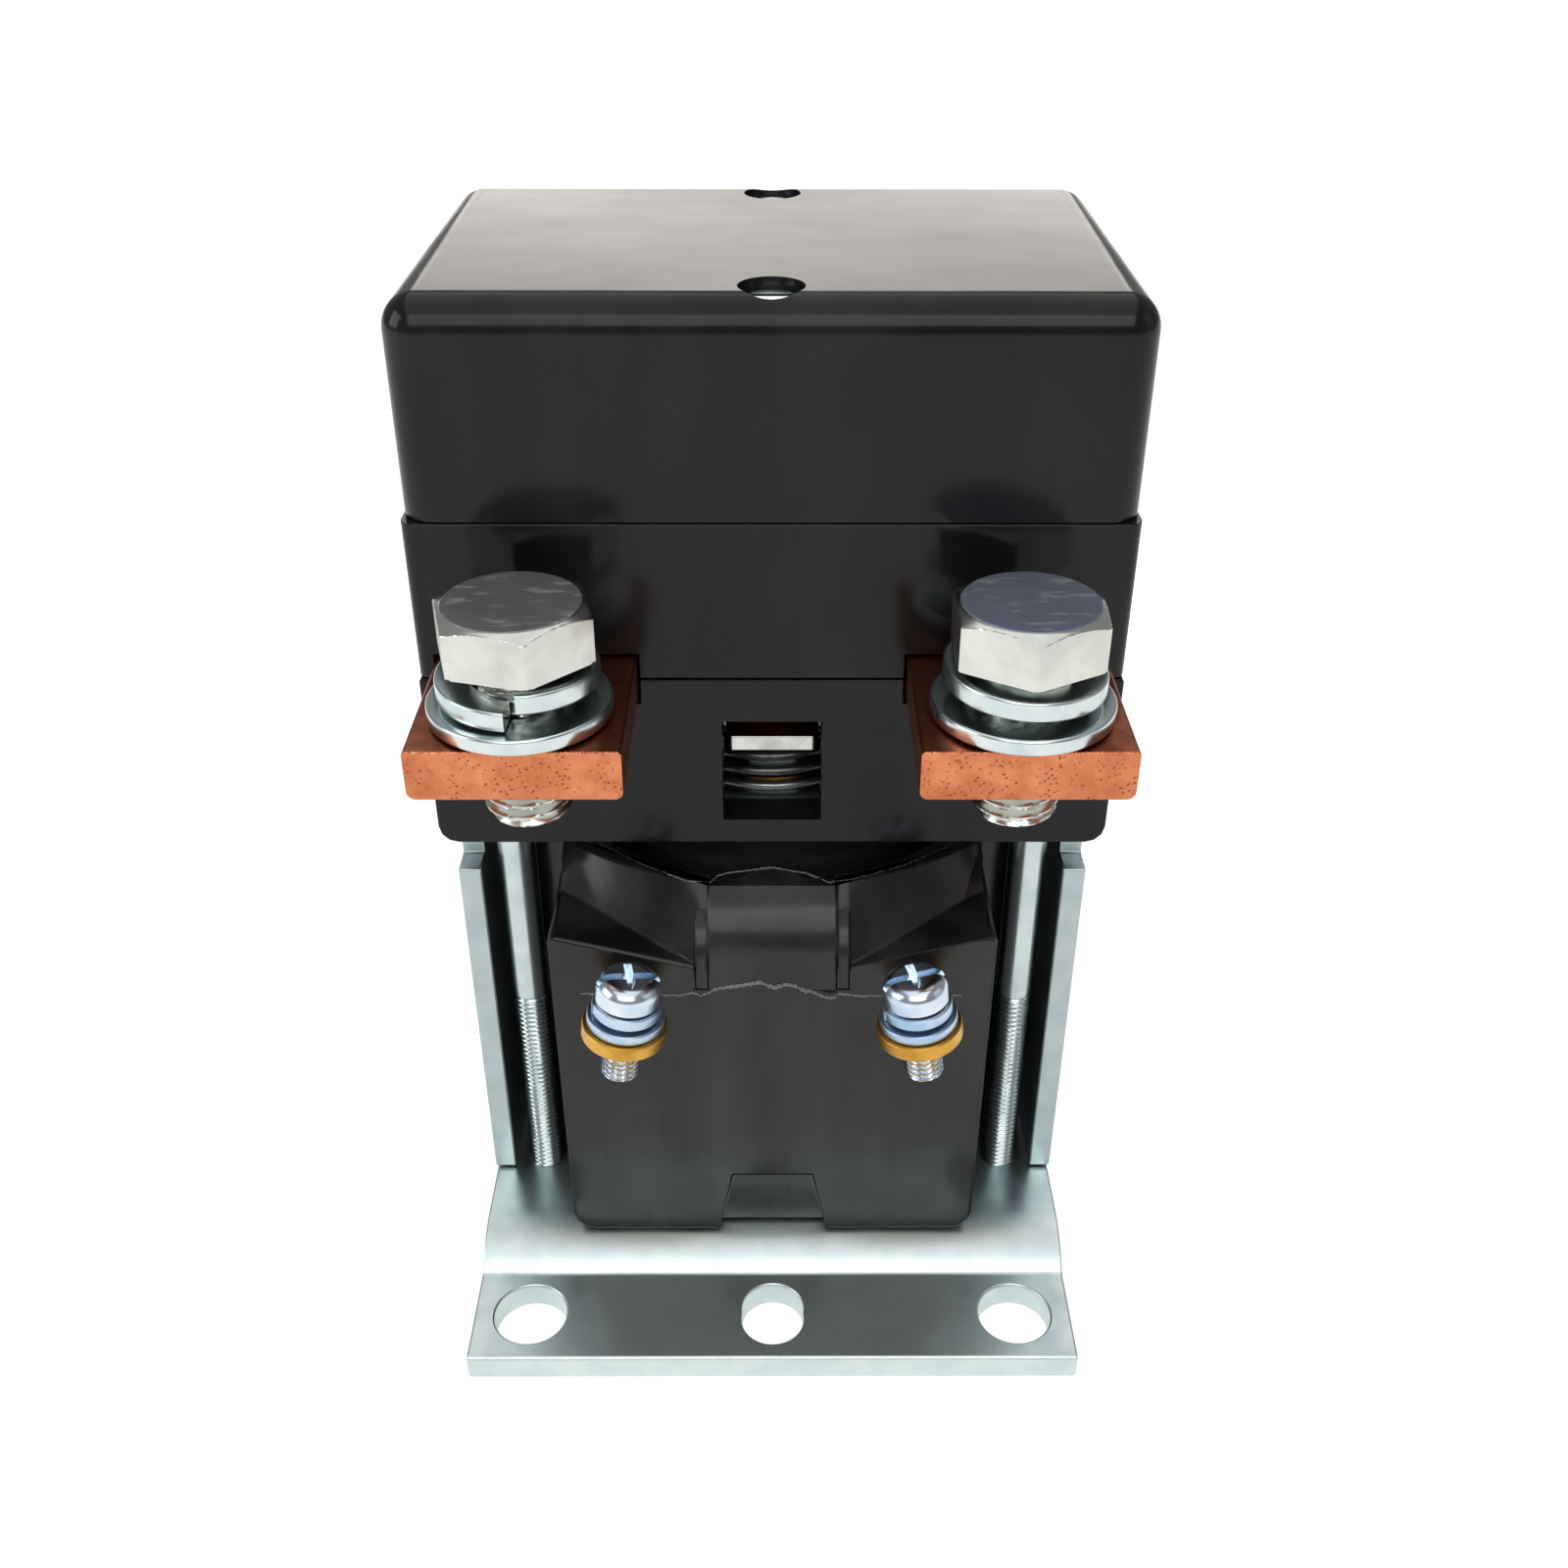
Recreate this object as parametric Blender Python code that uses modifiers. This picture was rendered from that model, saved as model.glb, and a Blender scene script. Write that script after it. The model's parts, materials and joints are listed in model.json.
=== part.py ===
"""A panel contactor for heavy direct current.

A U-shaped steel frame on a joggled mounting bracket holds a moulded coil.
The coil pulls a plunger down, and the plunger carries a copper bridge that
closes two copper terminal bars clamped between black mouldings.

X runs across the two terminals, the terminals point to -Y, and Z is up.
The origin is under the middle of the bracket, on the mounting surface.
All sizes are in metres.
"""

import math

import bmesh
import bpy
from mathutils import Matrix, Vector

# Clearances
GAP = 0.0003                      # between pieces that meet and don't move
SLIDE_GAP = 0.0004                # between pieces that slide on each other

# Main sizes of the contact housing
BODY_WIDTH = 0.0840
BODY_DEPTH = 0.0570

# Magnet frame
FRAME_INSET = 0.0010              # the side plates stand back from the housing's sides
FRAME_WIDTH = BODY_WIDTH - 2 * FRAME_INSET
SIDE_PLATE_THICKNESS = 0.0030
SIDE_PLATE_SETBACK = 0.0035       # from the housing's front and back
SIDE_PLATE_DEPTH = BODY_DEPTH - 2 * SIDE_PLATE_SETBACK
SIDE_PLATE_HEIGHT = 0.0540
SHOULDER_SETBACK = 0.0040
SHOULDER_RISE = 0.0027
TONGUE_WIDTH = 0.0260
FOOT_TENON_WIDTH = 0.0240
STAMPED_EDGE = 0.0004

# Mounting bracket
BRACKET_INSET = 0.0002            # on each side, inside the side plates' outer faces
BRACKET_WIDTH = FRAME_WIDTH - 2 * BRACKET_INSET
BRACKET_THICKNESS = 0.0040
BRACKET_STEP = 0.0035             # how far the middle is raised above the feet
BRACKET_DEPTH = 0.1124
FOOT_DEPTH = 0.0142               # flat length of each foot
STEP_RUN = 0.0040                 # length of the slope between foot and middle
BEND_INNER = 0.0022               # bend radii of the slope
BEND_OUTER = 0.0030
FOOT_END_RADIUS = 0.0006
FOOT_HOLE_RADIUS = 0.0049
FOOT_HOLE_MARGIN = 0.0077         # hole centre from the side of the bracket
FOOT_HOLE_SPACING = BRACKET_WIDTH - 2 * FOOT_HOLE_MARGIN
FOOT_HOLE_SETBACK = 0.0074        # hole centre from the end of the foot
SLOT_WIDTH = 0.0084
SLOT_LENGTH = 0.0100

# Mouldings of the contact housing
LOWER_HEIGHT = 0.0235
MID_HEIGHT = 0.0197
CAP_HEIGHT = 0.0250
CAP_INSET = 0.0004                # the cap stands back from the body below it
CAP_EDGE_RADIUS = 0.0045
CAP_EDGE_STEPS = 5
BODY_CORNER_RADIUS = 0.0016
LOWER_CORNER_RADIUS = 0.0024
CAP_WALL = 0.0030
CAP_ROOM_RADIUS = 0.0020
MID_WALL = 0.0034
FRONT_WALL = 0.0052               # of the lower moulding, where the window is
WINDOW_WIDTH = 0.0121
WINDOW_SILL = 0.0035
WINDOW_HEIGHT = 0.0142
SHAFT_WELL_WIDTH = 0.0280
SPRING_WELL_HEIGHT = 0.0165
LOCATING_RIB = 0.0012             # rim of the mid moulding that centres the cap
RIB_ROOT = 0.0020                 # how far the rim reaches down into the wall
LOWER_EDGE = 0.0006

# Screws that hold the cap and the two bodies together
CAP_SCREW_RADIUS = 0.0020
CAP_SCREW_HEAD_RADIUS = 0.0033
CAP_SCREW_HEAD_HEIGHT = 0.0026
CAP_SCREW_SINK = 0.0010           # top of the head below the top of the cap
CAP_SCREW_SETBACK = 0.0060        # screw axis from the front and back faces
CAP_SCREW_ANCHOR = 0.0040         # length held by the lower moulding
CAP_SCREW_DOME = 0.0010
CAP_SLOT_WIDTH = 0.0010
CAP_SLOT_DEPTH = 0.0010
ANCHOR_FLOOR = 0.0006             # moulding left under the screw's end
BOSS_RADIUS = 0.0044

# Long screws that hold the lower moulding and the frame to the bracket
FRAME_SCREW_RADIUS = 0.0025
FRAME_SCREW_CLEARANCE = 0.0045    # screw axis from the inside of the side plate
FRAME_SCREW_SETBACK = 0.0060      # screw axis from the housing's front and back
FRAME_SCREW_SPACING_X = FRAME_WIDTH - 2 * (SIDE_PLATE_THICKNESS + FRAME_SCREW_CLEARANCE)
FRAME_SCREW_SPACING_Y = BODY_DEPTH - 2 * FRAME_SCREW_SETBACK
FRAME_SCREW_HEAD_RADIUS = 0.0042
FRAME_SCREW_HEAD_HEIGHT = 0.0046
FRAME_SCREW_SEAT = 0.0120         # seat of the head above the foot of the moulding
FRAME_SCREW_END = 0.0010          # screw end above the underside of the bracket
SCREW_CHAMFER = 0.0005
SOCKET_SHARE = 0.5                # width of a hexagon socket as a share of its head

# Pole plate, which fits between the frame screws
POLE_PLATE_THICKNESS = 0.0035
POLE_PLATE_DEPTH = FRAME_SCREW_SPACING_Y - 2 * (FRAME_SCREW_RADIUS + SLIDE_GAP)
POLE_PLATE_CORNER = 0.0008

# Terminal bars and their bolts
BAR_WIDTH = 0.0235
BAR_THICKNESS = 0.0060
BAR_INSET = 0.0025                # outer edge of a bar from the housing's side
BAR_SPACING = BODY_WIDTH - 2 * BAR_INSET - BAR_WIDTH
BAR_REACH = 0.0219                # in front of the housing
BAR_END_WALL = 0.0165             # housing behind the end of a bar
BAR_INSIDE = BODY_DEPTH - BAR_END_WALL
BAR_EDGE = 0.0004
TERMINAL_SETBACK = 0.0088         # bolt axis from the end of the bar
BOLT_RADIUS = 0.0050
BOLT_LENGTH = 0.0200
BOLT_HEAD_FLATS = 0.0160
BOLT_HEAD_HEIGHT = 0.0064
BOLT_END_CHAMFER = 0.0010
HEAD_CHAMFER = math.radians(28)   # slope of the turned corners of a head or nut
CHAMFER_SHARE = 0.96              # of the flats, where that slope starts
FLAT_WASHER_RADIUS = 0.0103
FLAT_WASHER_THICKNESS = 0.0019
SPRING_WASHER_RADIUS = 0.00905
SPRING_WASHER_WIDTH = 0.0037
SPRING_WASHER_THICKNESS = 0.0023
SPRING_WASHER_RISE = 0.0021       # free height above its thickness
SPLIT_OPENING = math.radians(9)   # of every spring washer
LEFT_SPLIT = math.radians(-58)    # where the split is turned to
RIGHT_SPLIT = math.radians(150)

# Contacts
FIXED_TIP_HEIGHT = 0.0018
MOVING_TIP_HEIGHT = 0.0018
TIP_SIZE = 0.0100
TIP_EDGE = 0.0004
TIP_OFFSET = 0.00375              # a tip from its bar's middle line, inwards
TIP_SPACING = BAR_SPACING - 2 * TIP_OFFSET
BRIDGE_MARGIN = 0.0025            # of the bridge outside its tips
BRIDGE_LENGTH = TIP_SPACING + TIP_SIZE + 2 * BRIDGE_MARGIN
BRIDGE_WIDTH = 0.0180
BRIDGE_THICKNESS = 0.0050
BRIDGE_EDGE = 0.0006
CONTACT_GAP = 0.0040
STROKE = 0.0055
BRIDGE_BORE_RADIUS = 0.0050

# Coil across the frame, which sets the size of the plunger
COIL_CLEARANCE = 0.0056           # to the axes of the frame screws
COIL_WIDTH = FRAME_SCREW_SPACING_X - 2 * COIL_CLEARANCE
COIL_WALL = 0.0016                # of the moulding at the sides of the bobbin
BOBBIN_RADIUS = COIL_WIDTH / 2 - COIL_WALL
WINDING_INSET = 0.0008            # the winding stands back from the bobbin's rims
WINDING_RADIUS = BOBBIN_RADIUS - WINDING_INSET
PLUNGER_SHARE = 8 / 17            # of the winding's radius
PLUNGER_RADIUS = PLUNGER_SHARE * WINDING_RADIUS

# Plunger and what it carries
PLUNGER_CHAMFER = 0.0006
CORE_AIR_GAP = 0.0004             # left between plunger and core when closed
CORE_HEIGHT = 0.0230
SHAFT_RADIUS = 0.0030
SHAFT_TIP = 0.0015                # above the nut
SHAFT_SETBACK = 0.0020            # lower end above the plunger's lower face
SEAT_WASHER_MARGIN = 0.0026       # outside the plunger
SEAT_WASHER_RADIUS = PLUNGER_RADIUS + SEAT_WASHER_MARGIN
SEAT_WASHER_THICKNESS = 0.0011
STRAP_WIDTH = 0.0118
STRAP_CLEARANCE = 0.0013          # to the front and back walls
STRAP_LENGTH = BODY_DEPTH - 2 * (FRONT_WALL + STRAP_CLEARANCE)
STRAP_THICKNESS = 0.0022
STRAP_END_RADIUS = 0.0009
RETURN_SPRING_LENGTH = 0.0080
RETURN_SPRING_WIRE = 0.0014
RETURN_SPRING_CLEARANCE = 0.0014  # middle of the wire from the plunger's side, at the top
RETURN_SPRING_FLARE = 0.0026      # how much wider its foot is
RETURN_SPRING_HEAD_RADIUS = PLUNGER_RADIUS + RETURN_SPRING_CLEARANCE
RETURN_SPRING_FOOT_RADIUS = RETURN_SPRING_HEAD_RADIUS + RETURN_SPRING_FLARE
SPRING_WELL_CLEARANCE = 0.0040    # beside the foot of the spring
SPRING_WELL_WIDTH = 2 * (RETURN_SPRING_FOOT_RADIUS + SPRING_WELL_CLEARANCE)
RETURN_SPRING_TURNS = 3.5
CARRIER_FLANGE_RADIUS = 0.0095
CARRIER_FLANGE_HEIGHT = 0.0025
CARRIER_BODY_RADIUS = 0.0070
CARRIER_WALL = 0.0014             # of the sleeve that passes through the bridge
CONTACT_SPRING_LENGTH = 0.0130
CONTACT_SPRING_RADIUS = 0.0072
CONTACT_SPRING_WIRE = 0.0016
CONTACT_SPRING_TURNS = 4.0
SPRING_END_TURN = 0.75            # closed turn at each end of a spring
TOP_WASHER_RADIUS = 0.0100
TOP_WASHER_THICKNESS = 0.0020
NUT_FLATS = 0.0100
NUT_HEIGHT = 0.0050

# Coil
TUBE_WALL = 0.0008
BOBBIN_WALL = 0.0014
BOBBIN_FLANGE = 0.0020
COIL_FLARE = 0.0003               # the moulding is wider at the top by this, each side
COIL_BACK_WALL = 0.0072
COIL_BACK = BOBBIN_RADIUS + COIL_BACK_WALL
COIL_FRONT_WALL = 0.0107          # thick, because it holds the terminals
COIL_FRONT = BOBBIN_RADIUS + COIL_FRONT_WALL
COIL_SHOULDER_DROP = 0.0021       # outer shoulder below the ledges of the side plates
COIL_SHOULDER = SIDE_PLATE_HEIGHT - COIL_SHOULDER_DROP
TROUGH_DEPTH = 0.0049             # how far the shoulders fall towards the boss
NECK_CORNER = 0.0270              # where the foot of the neck meets the sides
CREST_FRONT_STEP = 0.0050         # from the faces of the moulding below
CREST_SIDE_STEP = 0.0069
CREST_BACK_STEP = 0.0008
CREST_FRONT = COIL_FRONT - CREST_FRONT_STEP
CREST_SIDE = COIL_WIDTH / 2 - CREST_SIDE_STEP
CREST_BACK = COIL_BACK - CREST_BACK_STEP
CREST_BACK_RADIUS = 0.0040
CREST_ROOT_DROP = 0.0099          # its root below the outer shoulder
CREST_ROOT = COIL_SHOULDER - CREST_ROOT_DROP
BOSS_WIDTH = 0.0164
BOSS_FOOT_WIDTH = 0.0196
BOSS_PROUD = 0.0006
BOSS_ROOT_DROP = 0.0083           # its root and the start of its bend below the outer shoulder
BOSS_ROOT = COIL_SHOULDER - BOSS_ROOT_DROP
BOSS_BEND_DROP = 0.0055
BOSS_BEND = COIL_SHOULDER - BOSS_BEND_DROP
BOSS_FOOT_DROP = 0.0028           # top of its wide foot below the rim
BOSS_STEPS = 5
RECESS_RADIUS = 0.0306            # inside the rim at the top of the moulding
RECESS_DEPTH = 0.0034
LUG_RADIUS = 0.0050               # a round lug that fills the recess behind the boss
LUG_PLACE = 0.0330
NICK_PLACE = 0.0072               # two nicks in the rim, beside the boss
NICK_WIDTH = 0.0014
BELLY_PLATE_CLEARANCE = 0.0008    # the belly fills the frame between the screws
BELLY_SCREW_CLEARANCE = 0.0022
BELLY_RADIUS = 0.0040
COIL_EDGE = 0.0007
COIL_SHOULDER_RADIUS = 0.0008
COIL_FOOT_RADIUS = 0.0030
NOTCH_WIDTH = 0.0150
NOTCH_TOP_WIDTH = 0.0110
NOTCH_HEIGHT = 0.0105
NOTCH_DEPTH = 0.0018

# Coil terminals
TAB_WIDTH = 0.0106
TAB_THICKNESS = 0.0020
TAB_MARGIN = 0.0096               # middle of the tab from the side of the moulding
TAB_SPACING = COIL_WIDTH - 2 * TAB_MARGIN
TAB_REACH = 0.0138                # in front of the coil
TAB_ROOT = 0.0040                 # held in the moulding
TAB_CORNER = 0.0046
TAB_DROP = 0.0067                 # top of the tab below the outer shoulder
TAB_HEIGHT = COIL_SHOULDER - TAB_DROP
TAB_TILT = math.radians(7.5)
COIL_SCREW_RADIUS = 0.0024
COIL_SCREW_LENGTH = 0.0120
COIL_SCREW_REACH = 0.0082         # axis in front of the coil
COIL_SCREW_HEAD_RADIUS = 0.0040
COIL_SCREW_HEAD_HEIGHT = 0.0034
COIL_SCREW_DOME = 0.0014
COIL_SCREW_SLOT = 0.0011
COIL_SCREW_SLOT_DEPTH = 0.0014
COIL_SCREW_SLOT_TURN = math.radians(12)
COIL_FLAT_WASHER_RADIUS = 0.0048
COIL_FLAT_WASHER_THICKNESS = 0.0010
COIL_SPRING_WASHER_RADIUS = 0.0043
COIL_SPRING_WASHER_WIDTH = 0.0014
COIL_SPRING_WASHER_THICKNESS = 0.0012
COIL_SPRING_WASHER_RISE = 0.0006
COIL_SPRING_WASHER_SPLIT = math.radians(200)

# Core screw under the bracket
CORE_SCREW_RADIUS = 0.0030
CORE_SCREW_HEAD_RADIUS = 0.0052
CORE_SCREW_HEAD_HEIGHT = 0.0026
CORE_SCREW_LENGTH = 0.0140
CORE_SCREW_CHAMFER = 0.0008
CORE_SOCKET_DEPTH = 0.0015

# Heights that follow
RAISED_TOP = BRACKET_STEP + BRACKET_THICKNESS
FRAME_FOOT = RAISED_TOP + GAP
LEDGE_Z = RAISED_TOP + SIDE_PLATE_HEIGHT
POLE_Z = LEDGE_Z + SHOULDER_RISE
POLE_TOP = POLE_Z + POLE_PLATE_THICKNESS
LOWER_Z = POLE_TOP + GAP
JOINT_Z = LOWER_Z + LOWER_HEIGHT
CAP_Z = JOINT_Z + MID_HEIGHT
TOP_Z = CAP_Z + CAP_HEIGHT
BAR_TOP = JOINT_Z + BAR_THICKNESS / 2
BAR_UNDER = JOINT_Z - BAR_THICKNESS / 2
BRIDGE_Z = BAR_TOP + GAP + FIXED_TIP_HEIGHT + CONTACT_GAP + MOVING_TIP_HEIGHT + GAP
BRIDGE_TOP = BRIDGE_Z + BRIDGE_THICKNESS
SEAT_WASHER_Z = POLE_TOP + GAP + RETURN_SPRING_LENGTH + GAP
STRAP_Z = SEAT_WASHER_Z + SEAT_WASHER_THICKNESS + GAP
CARRIER_Z = STRAP_Z + STRAP_THICKNESS + GAP
TOP_WASHER_Z = BRIDGE_TOP + GAP + CONTACT_SPRING_LENGTH + GAP
NUT_Z = TOP_WASHER_Z + TOP_WASHER_THICKNESS + GAP
SHAFT_TOP = NUT_Z + NUT_HEIGHT + SHAFT_TIP
PLUNGER_TOP = SEAT_WASHER_Z - GAP
CORE_TOP = FRAME_FOOT + CORE_HEIGHT
PLUNGER_Z = CORE_TOP + STROKE + CORE_AIR_GAP
COIL_TOP = POLE_Z - GAP
SHOULDER_Z = FRAME_FOOT + COIL_SHOULDER
TAB_Z = FRAME_FOOT + TAB_HEIGHT - TAB_THICKNESS

# Places across and along that follow
FRONT_Y = -BODY_DEPTH / 2
TERMINAL_X = BAR_SPACING / 2
BAR_END_Y = FRONT_Y - BAR_REACH
TERMINAL_Y = BAR_END_Y + TERMINAL_SETBACK
CAP_SCREW_Y = BODY_DEPTH / 2 - CAP_SCREW_SETBACK
FRAME_SCREW_X = FRAME_SCREW_SPACING_X / 2
FRAME_SCREW_Y = FRAME_SCREW_SPACING_Y / 2
TUBE_RADIUS = PLUNGER_RADIUS + SLIDE_GAP
BOBBIN_BORE = TUBE_RADIUS + TUBE_WALL + GAP
SLEEVE_RADIUS = SHAFT_RADIUS + GAP + CARRIER_WALL

# Facets of round pieces
FINE = 32
ROUND = 24
SMALL = 16
HEXAGON_STEPS = 36
FILLET_STEPS = 3
SPRING_STEPS = 10                 # along one turn of a spring
SPRING_SIDES = 2


for old in list(bpy.data.objects):
    bpy.data.objects.remove(old, do_unlink=True)

PART = bpy.data.collections.new("dc_contactor")
GUIDES = bpy.data.collections.new("cutters")
bpy.context.scene.collection.children.link(PART)
bpy.context.scene.collection.children.link(GUIDES)


def linear(hex_colour):
    """Turns an sRGB hex colour into linear red, green and blue."""
    channels = [int(hex_colour[i:i + 2], 16) / 255 for i in (1, 3, 5)]
    return [c / 12.92 if c <= 0.04045 else ((c + 0.055) / 1.055) ** 2.4 for c in channels]


FINISHES = {
    "black_thermoset": ("#2b2b2c", 0.22, 0.0),
    "coil_thermoset": ("#353536", 0.28, 0.0),
    "zinc_steel": ("#b9c4c6", 0.24, 1.0),
    "blue_zinc": ("#9fb6cf", 0.20, 1.0),
    "bright_steel": ("#c9cbc6", 0.30, 1.0),
    "spring_steel": ("#8f9290", 0.32, 1.0),
    "copper": ("#c97b52", 0.38, 1.0),
    "silver": ("#d9d9d2", 0.30, 1.0),
    "brass": ("#d59a3c", 0.30, 1.0),
    "winding": ("#8f4a26", 0.40, 0.3),
    "bobbin": ("#232324", 0.45, 0.0),
    "carrier": ("#7a2f23", 0.45, 0.0),
}


def finish(node_name, kind):
    """Makes the node's own material with the colour of its kind."""
    colour, roughness, metallic = FINISHES[kind]
    material = bpy.data.materials.new(node_name)
    material.use_nodes = True
    shader = material.node_tree.nodes["Principled BSDF"]
    shader.inputs["Base Color"].default_value = (*linear(colour), 1.0)
    shader.inputs["Roughness"].default_value = roughness
    shader.inputs["Metallic"].default_value = metallic
    material.diffuse_color = (*linear(colour), 1.0)
    return material


def add(name, mesh, kind=None):
    """Puts a mesh in the part with its finish, or among the cutters without one."""
    thing = bpy.data.objects.new(name, mesh)
    if kind is None:
        GUIDES.objects.link(thing)
        thing.hide_render = True
        thing.display_type = "WIRE"
    else:
        PART.objects.link(thing)
        mesh.materials.append(finish(name, kind))
    return thing


def smooth(thing, angle=35):
    """Shades the round faces smooth and keeps the sharp edges."""
    thing.data.shade_smooth()
    thing.data.set_sharp_from_angle(angle=math.radians(angle))
    return thing


def block(name, x, y, z, kind=None):
    """A box between two limits on each axis."""
    mesh = bpy.data.meshes.new(name)
    cage = bmesh.new()
    bmesh.ops.create_cube(cage, size=1.0)
    size = Vector((x[1] - x[0], y[1] - y[0], z[1] - z[0]))
    centre = Vector((x[0] + x[1], y[0] + y[1], z[0] + z[1])) / 2
    for vertex in cage.verts:
        vertex.co = Vector(a * b for a, b in zip(vertex.co, size)) + centre
    cage.to_mesh(mesh)
    cage.free()
    return add(name, mesh, kind)


def cylinder(name, radius, low, high, at=(0.0, 0.0), steps=ROUND, kind=None, turn=0.0):
    """An upright cylinder or prism with a given number of sides."""
    mesh = bpy.data.meshes.new(name)
    cage = bmesh.new()
    bmesh.ops.create_cone(
        cage, cap_ends=True, segments=steps, radius1=radius, radius2=radius, depth=high - low)
    place = Matrix.Translation((at[0], at[1], (low + high) / 2)) @ Matrix.Rotation(turn, 4, "Z")
    cage.transform(place)
    cage.to_mesh(mesh)
    cage.free()
    return smooth(add(name, mesh, kind))


def turned(name, profile, at=(0.0, 0.0), steps=ROUND, kind=None, closed=False):
    """A profile of (radius, height) pairs, turned about an upright axis.

    The profile runs down the outer side. A ring's profile is closed and comes
    back up its inner side.
    """
    mesh = bpy.data.meshes.new(name)
    edges = [(i, i + 1) for i in range(len(profile) - 1)]
    if closed:
        edges.append((len(profile) - 1, 0))
    mesh.from_pydata([(radius, 0.0, height) for radius, height in profile], edges, [])
    thing = add(name, mesh, kind)
    thing.location = (at[0], at[1], 0.0)
    screw = thing.modifiers.new("turn", "SCREW")
    screw.steps = steps
    screw.render_steps = steps
    screw.use_merge_vertices = True
    screw.merge_threshold = 0.00001
    screw.use_smooth_shade = False
    return thing


def as_mesh(thing):
    """Replaces an object by the mesh that it evaluates to, welded."""
    depsgraph = bpy.context.evaluated_depsgraph_get()
    mesh = bpy.data.meshes.new_from_object(thing.evaluated_get(depsgraph))
    cage = bmesh.new()
    cage.from_mesh(mesh)
    bmesh.ops.remove_doubles(cage, verts=cage.verts, dist=0.000002)
    bmesh.ops.recalc_face_normals(cage, faces=cage.faces)
    cage.to_mesh(mesh)
    cage.free()
    place = thing.matrix_world.copy()
    old = thing.data
    bpy.data.objects.remove(thing, do_unlink=True)
    if isinstance(old, bpy.types.Curve):
        bpy.data.curves.remove(old)
    else:
        bpy.data.meshes.remove(old)
    return mesh, place


def arc(centre, radius, start, end, steps):
    """Points on an arc, both ends included, with angles in radians."""
    angles = [start + (end - start) * i / steps for i in range(steps + 1)]
    return [(centre[0] + radius * math.cos(a), centre[1] + radius * math.sin(a)) for a in angles]


def rounded(corners):
    """An outline from (a, b, radius) corners, with an arc at each rounded one."""
    points = []
    for i, (a, b, radius) in enumerate(corners):
        corner = Vector((a, b))
        if radius <= 0.0:
            points.append((a, b))
            continue
        before = (Vector(corners[i - 1][:2]) - corner).normalized()
        after = (Vector(corners[(i + 1) % len(corners)][:2]) - corner).normalized()
        half = before.angle(after) / 2
        middle = corner + (before + after).normalized() * radius / math.sin(half)
        first = corner + before * radius / math.tan(half) - middle
        last = corner + after * radius / math.tan(half) - middle
        for step in range(FILLET_STEPS + 1):
            share = step / FILLET_STEPS
            sweep = math.pi - 2 * half
            weight_first = math.sin((1 - share) * sweep) / math.sin(sweep)
            weight_last = math.sin(share * sweep) / math.sin(sweep)
            points.append(tuple(middle + first * weight_first + last * weight_last))
    return points


def extruded(name, outlines, low, high, axis, kind=None):
    """A flat outline, with any holes after it, extruded between two limits.

    The outline is in (y, z) for axis X, (x, z) for axis Y and (x, y) for axis Z.
    """
    curve = bpy.data.curves.new(name, "CURVE")
    curve.dimensions = "2D"
    curve.fill_mode = "BOTH"
    curve.extrude = (high - low) / 2
    for outline in outlines:
        spline = curve.splines.new("POLY")
        spline.points.add(len(outline) - 1)
        spline.use_cyclic_u = True
        for point, (a, b) in zip(spline.points, outline):
            point.co = (a, b, 0.0, 1.0)
    guide = bpy.data.objects.new(name, curve)
    bpy.context.scene.collection.objects.link(guide)
    bpy.context.view_layer.update()
    mesh, _ = as_mesh(guide)
    middle = (low + high) / 2
    turn = {
        "X": Matrix(((0, 0, 1, middle), (1, 0, 0, 0), (0, 1, 0, 0), (0, 0, 0, 1))),
        "Y": Matrix(((1, 0, 0, 0), (0, 0, -1, middle), (0, 1, 0, 0), (0, 0, 0, 1))),
        "Z": Matrix.Translation((0, 0, middle)),
    }[axis]
    mesh.transform(turn)
    mesh.name = name
    return add(name, mesh, kind)


def bevel(thing, width, segments=1, angle=50):
    """Breaks the edges that are sharper than an angle."""
    edge = thing.modifiers.new("edge", "BEVEL")
    edge.width = width
    edge.segments = segments
    edge.limit_method = "ANGLE"
    edge.angle_limit = math.radians(angle)
    edge.use_clamp_overlap = True
    return thing


def boolean(thing, other, operation):
    """Cuts, joins or intersects a piece with another shape."""
    change = thing.modifiers.new(other.name, "BOOLEAN")
    change.operation = operation
    change.solver = "EXACT"
    change.object = other
    return thing


def cut(thing, *cutters):
    """Takes each cutter out of a piece."""
    for cutter in cutters:
        boolean(thing, cutter, "DIFFERENCE")
    return thing


def join(thing, *others):
    """Makes each other shape part of a piece."""
    for other in others:
        boolean(thing, other, "UNION")
    return thing


def rectangle(half_x, low_y, high_y, radius=0.0):
    """Corners of a rectangle that is centred on X."""
    return rounded([
        (-half_x, low_y, radius), (half_x, low_y, radius),
        (half_x, high_y, radius), (-half_x, high_y, radius)])


def circle(radius, at=(0.0, 0.0), steps=ROUND):
    """Points round a circle."""
    return arc(at, radius, 0.0, 2 * math.pi * (steps - 1) / steps, steps - 1)


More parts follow.
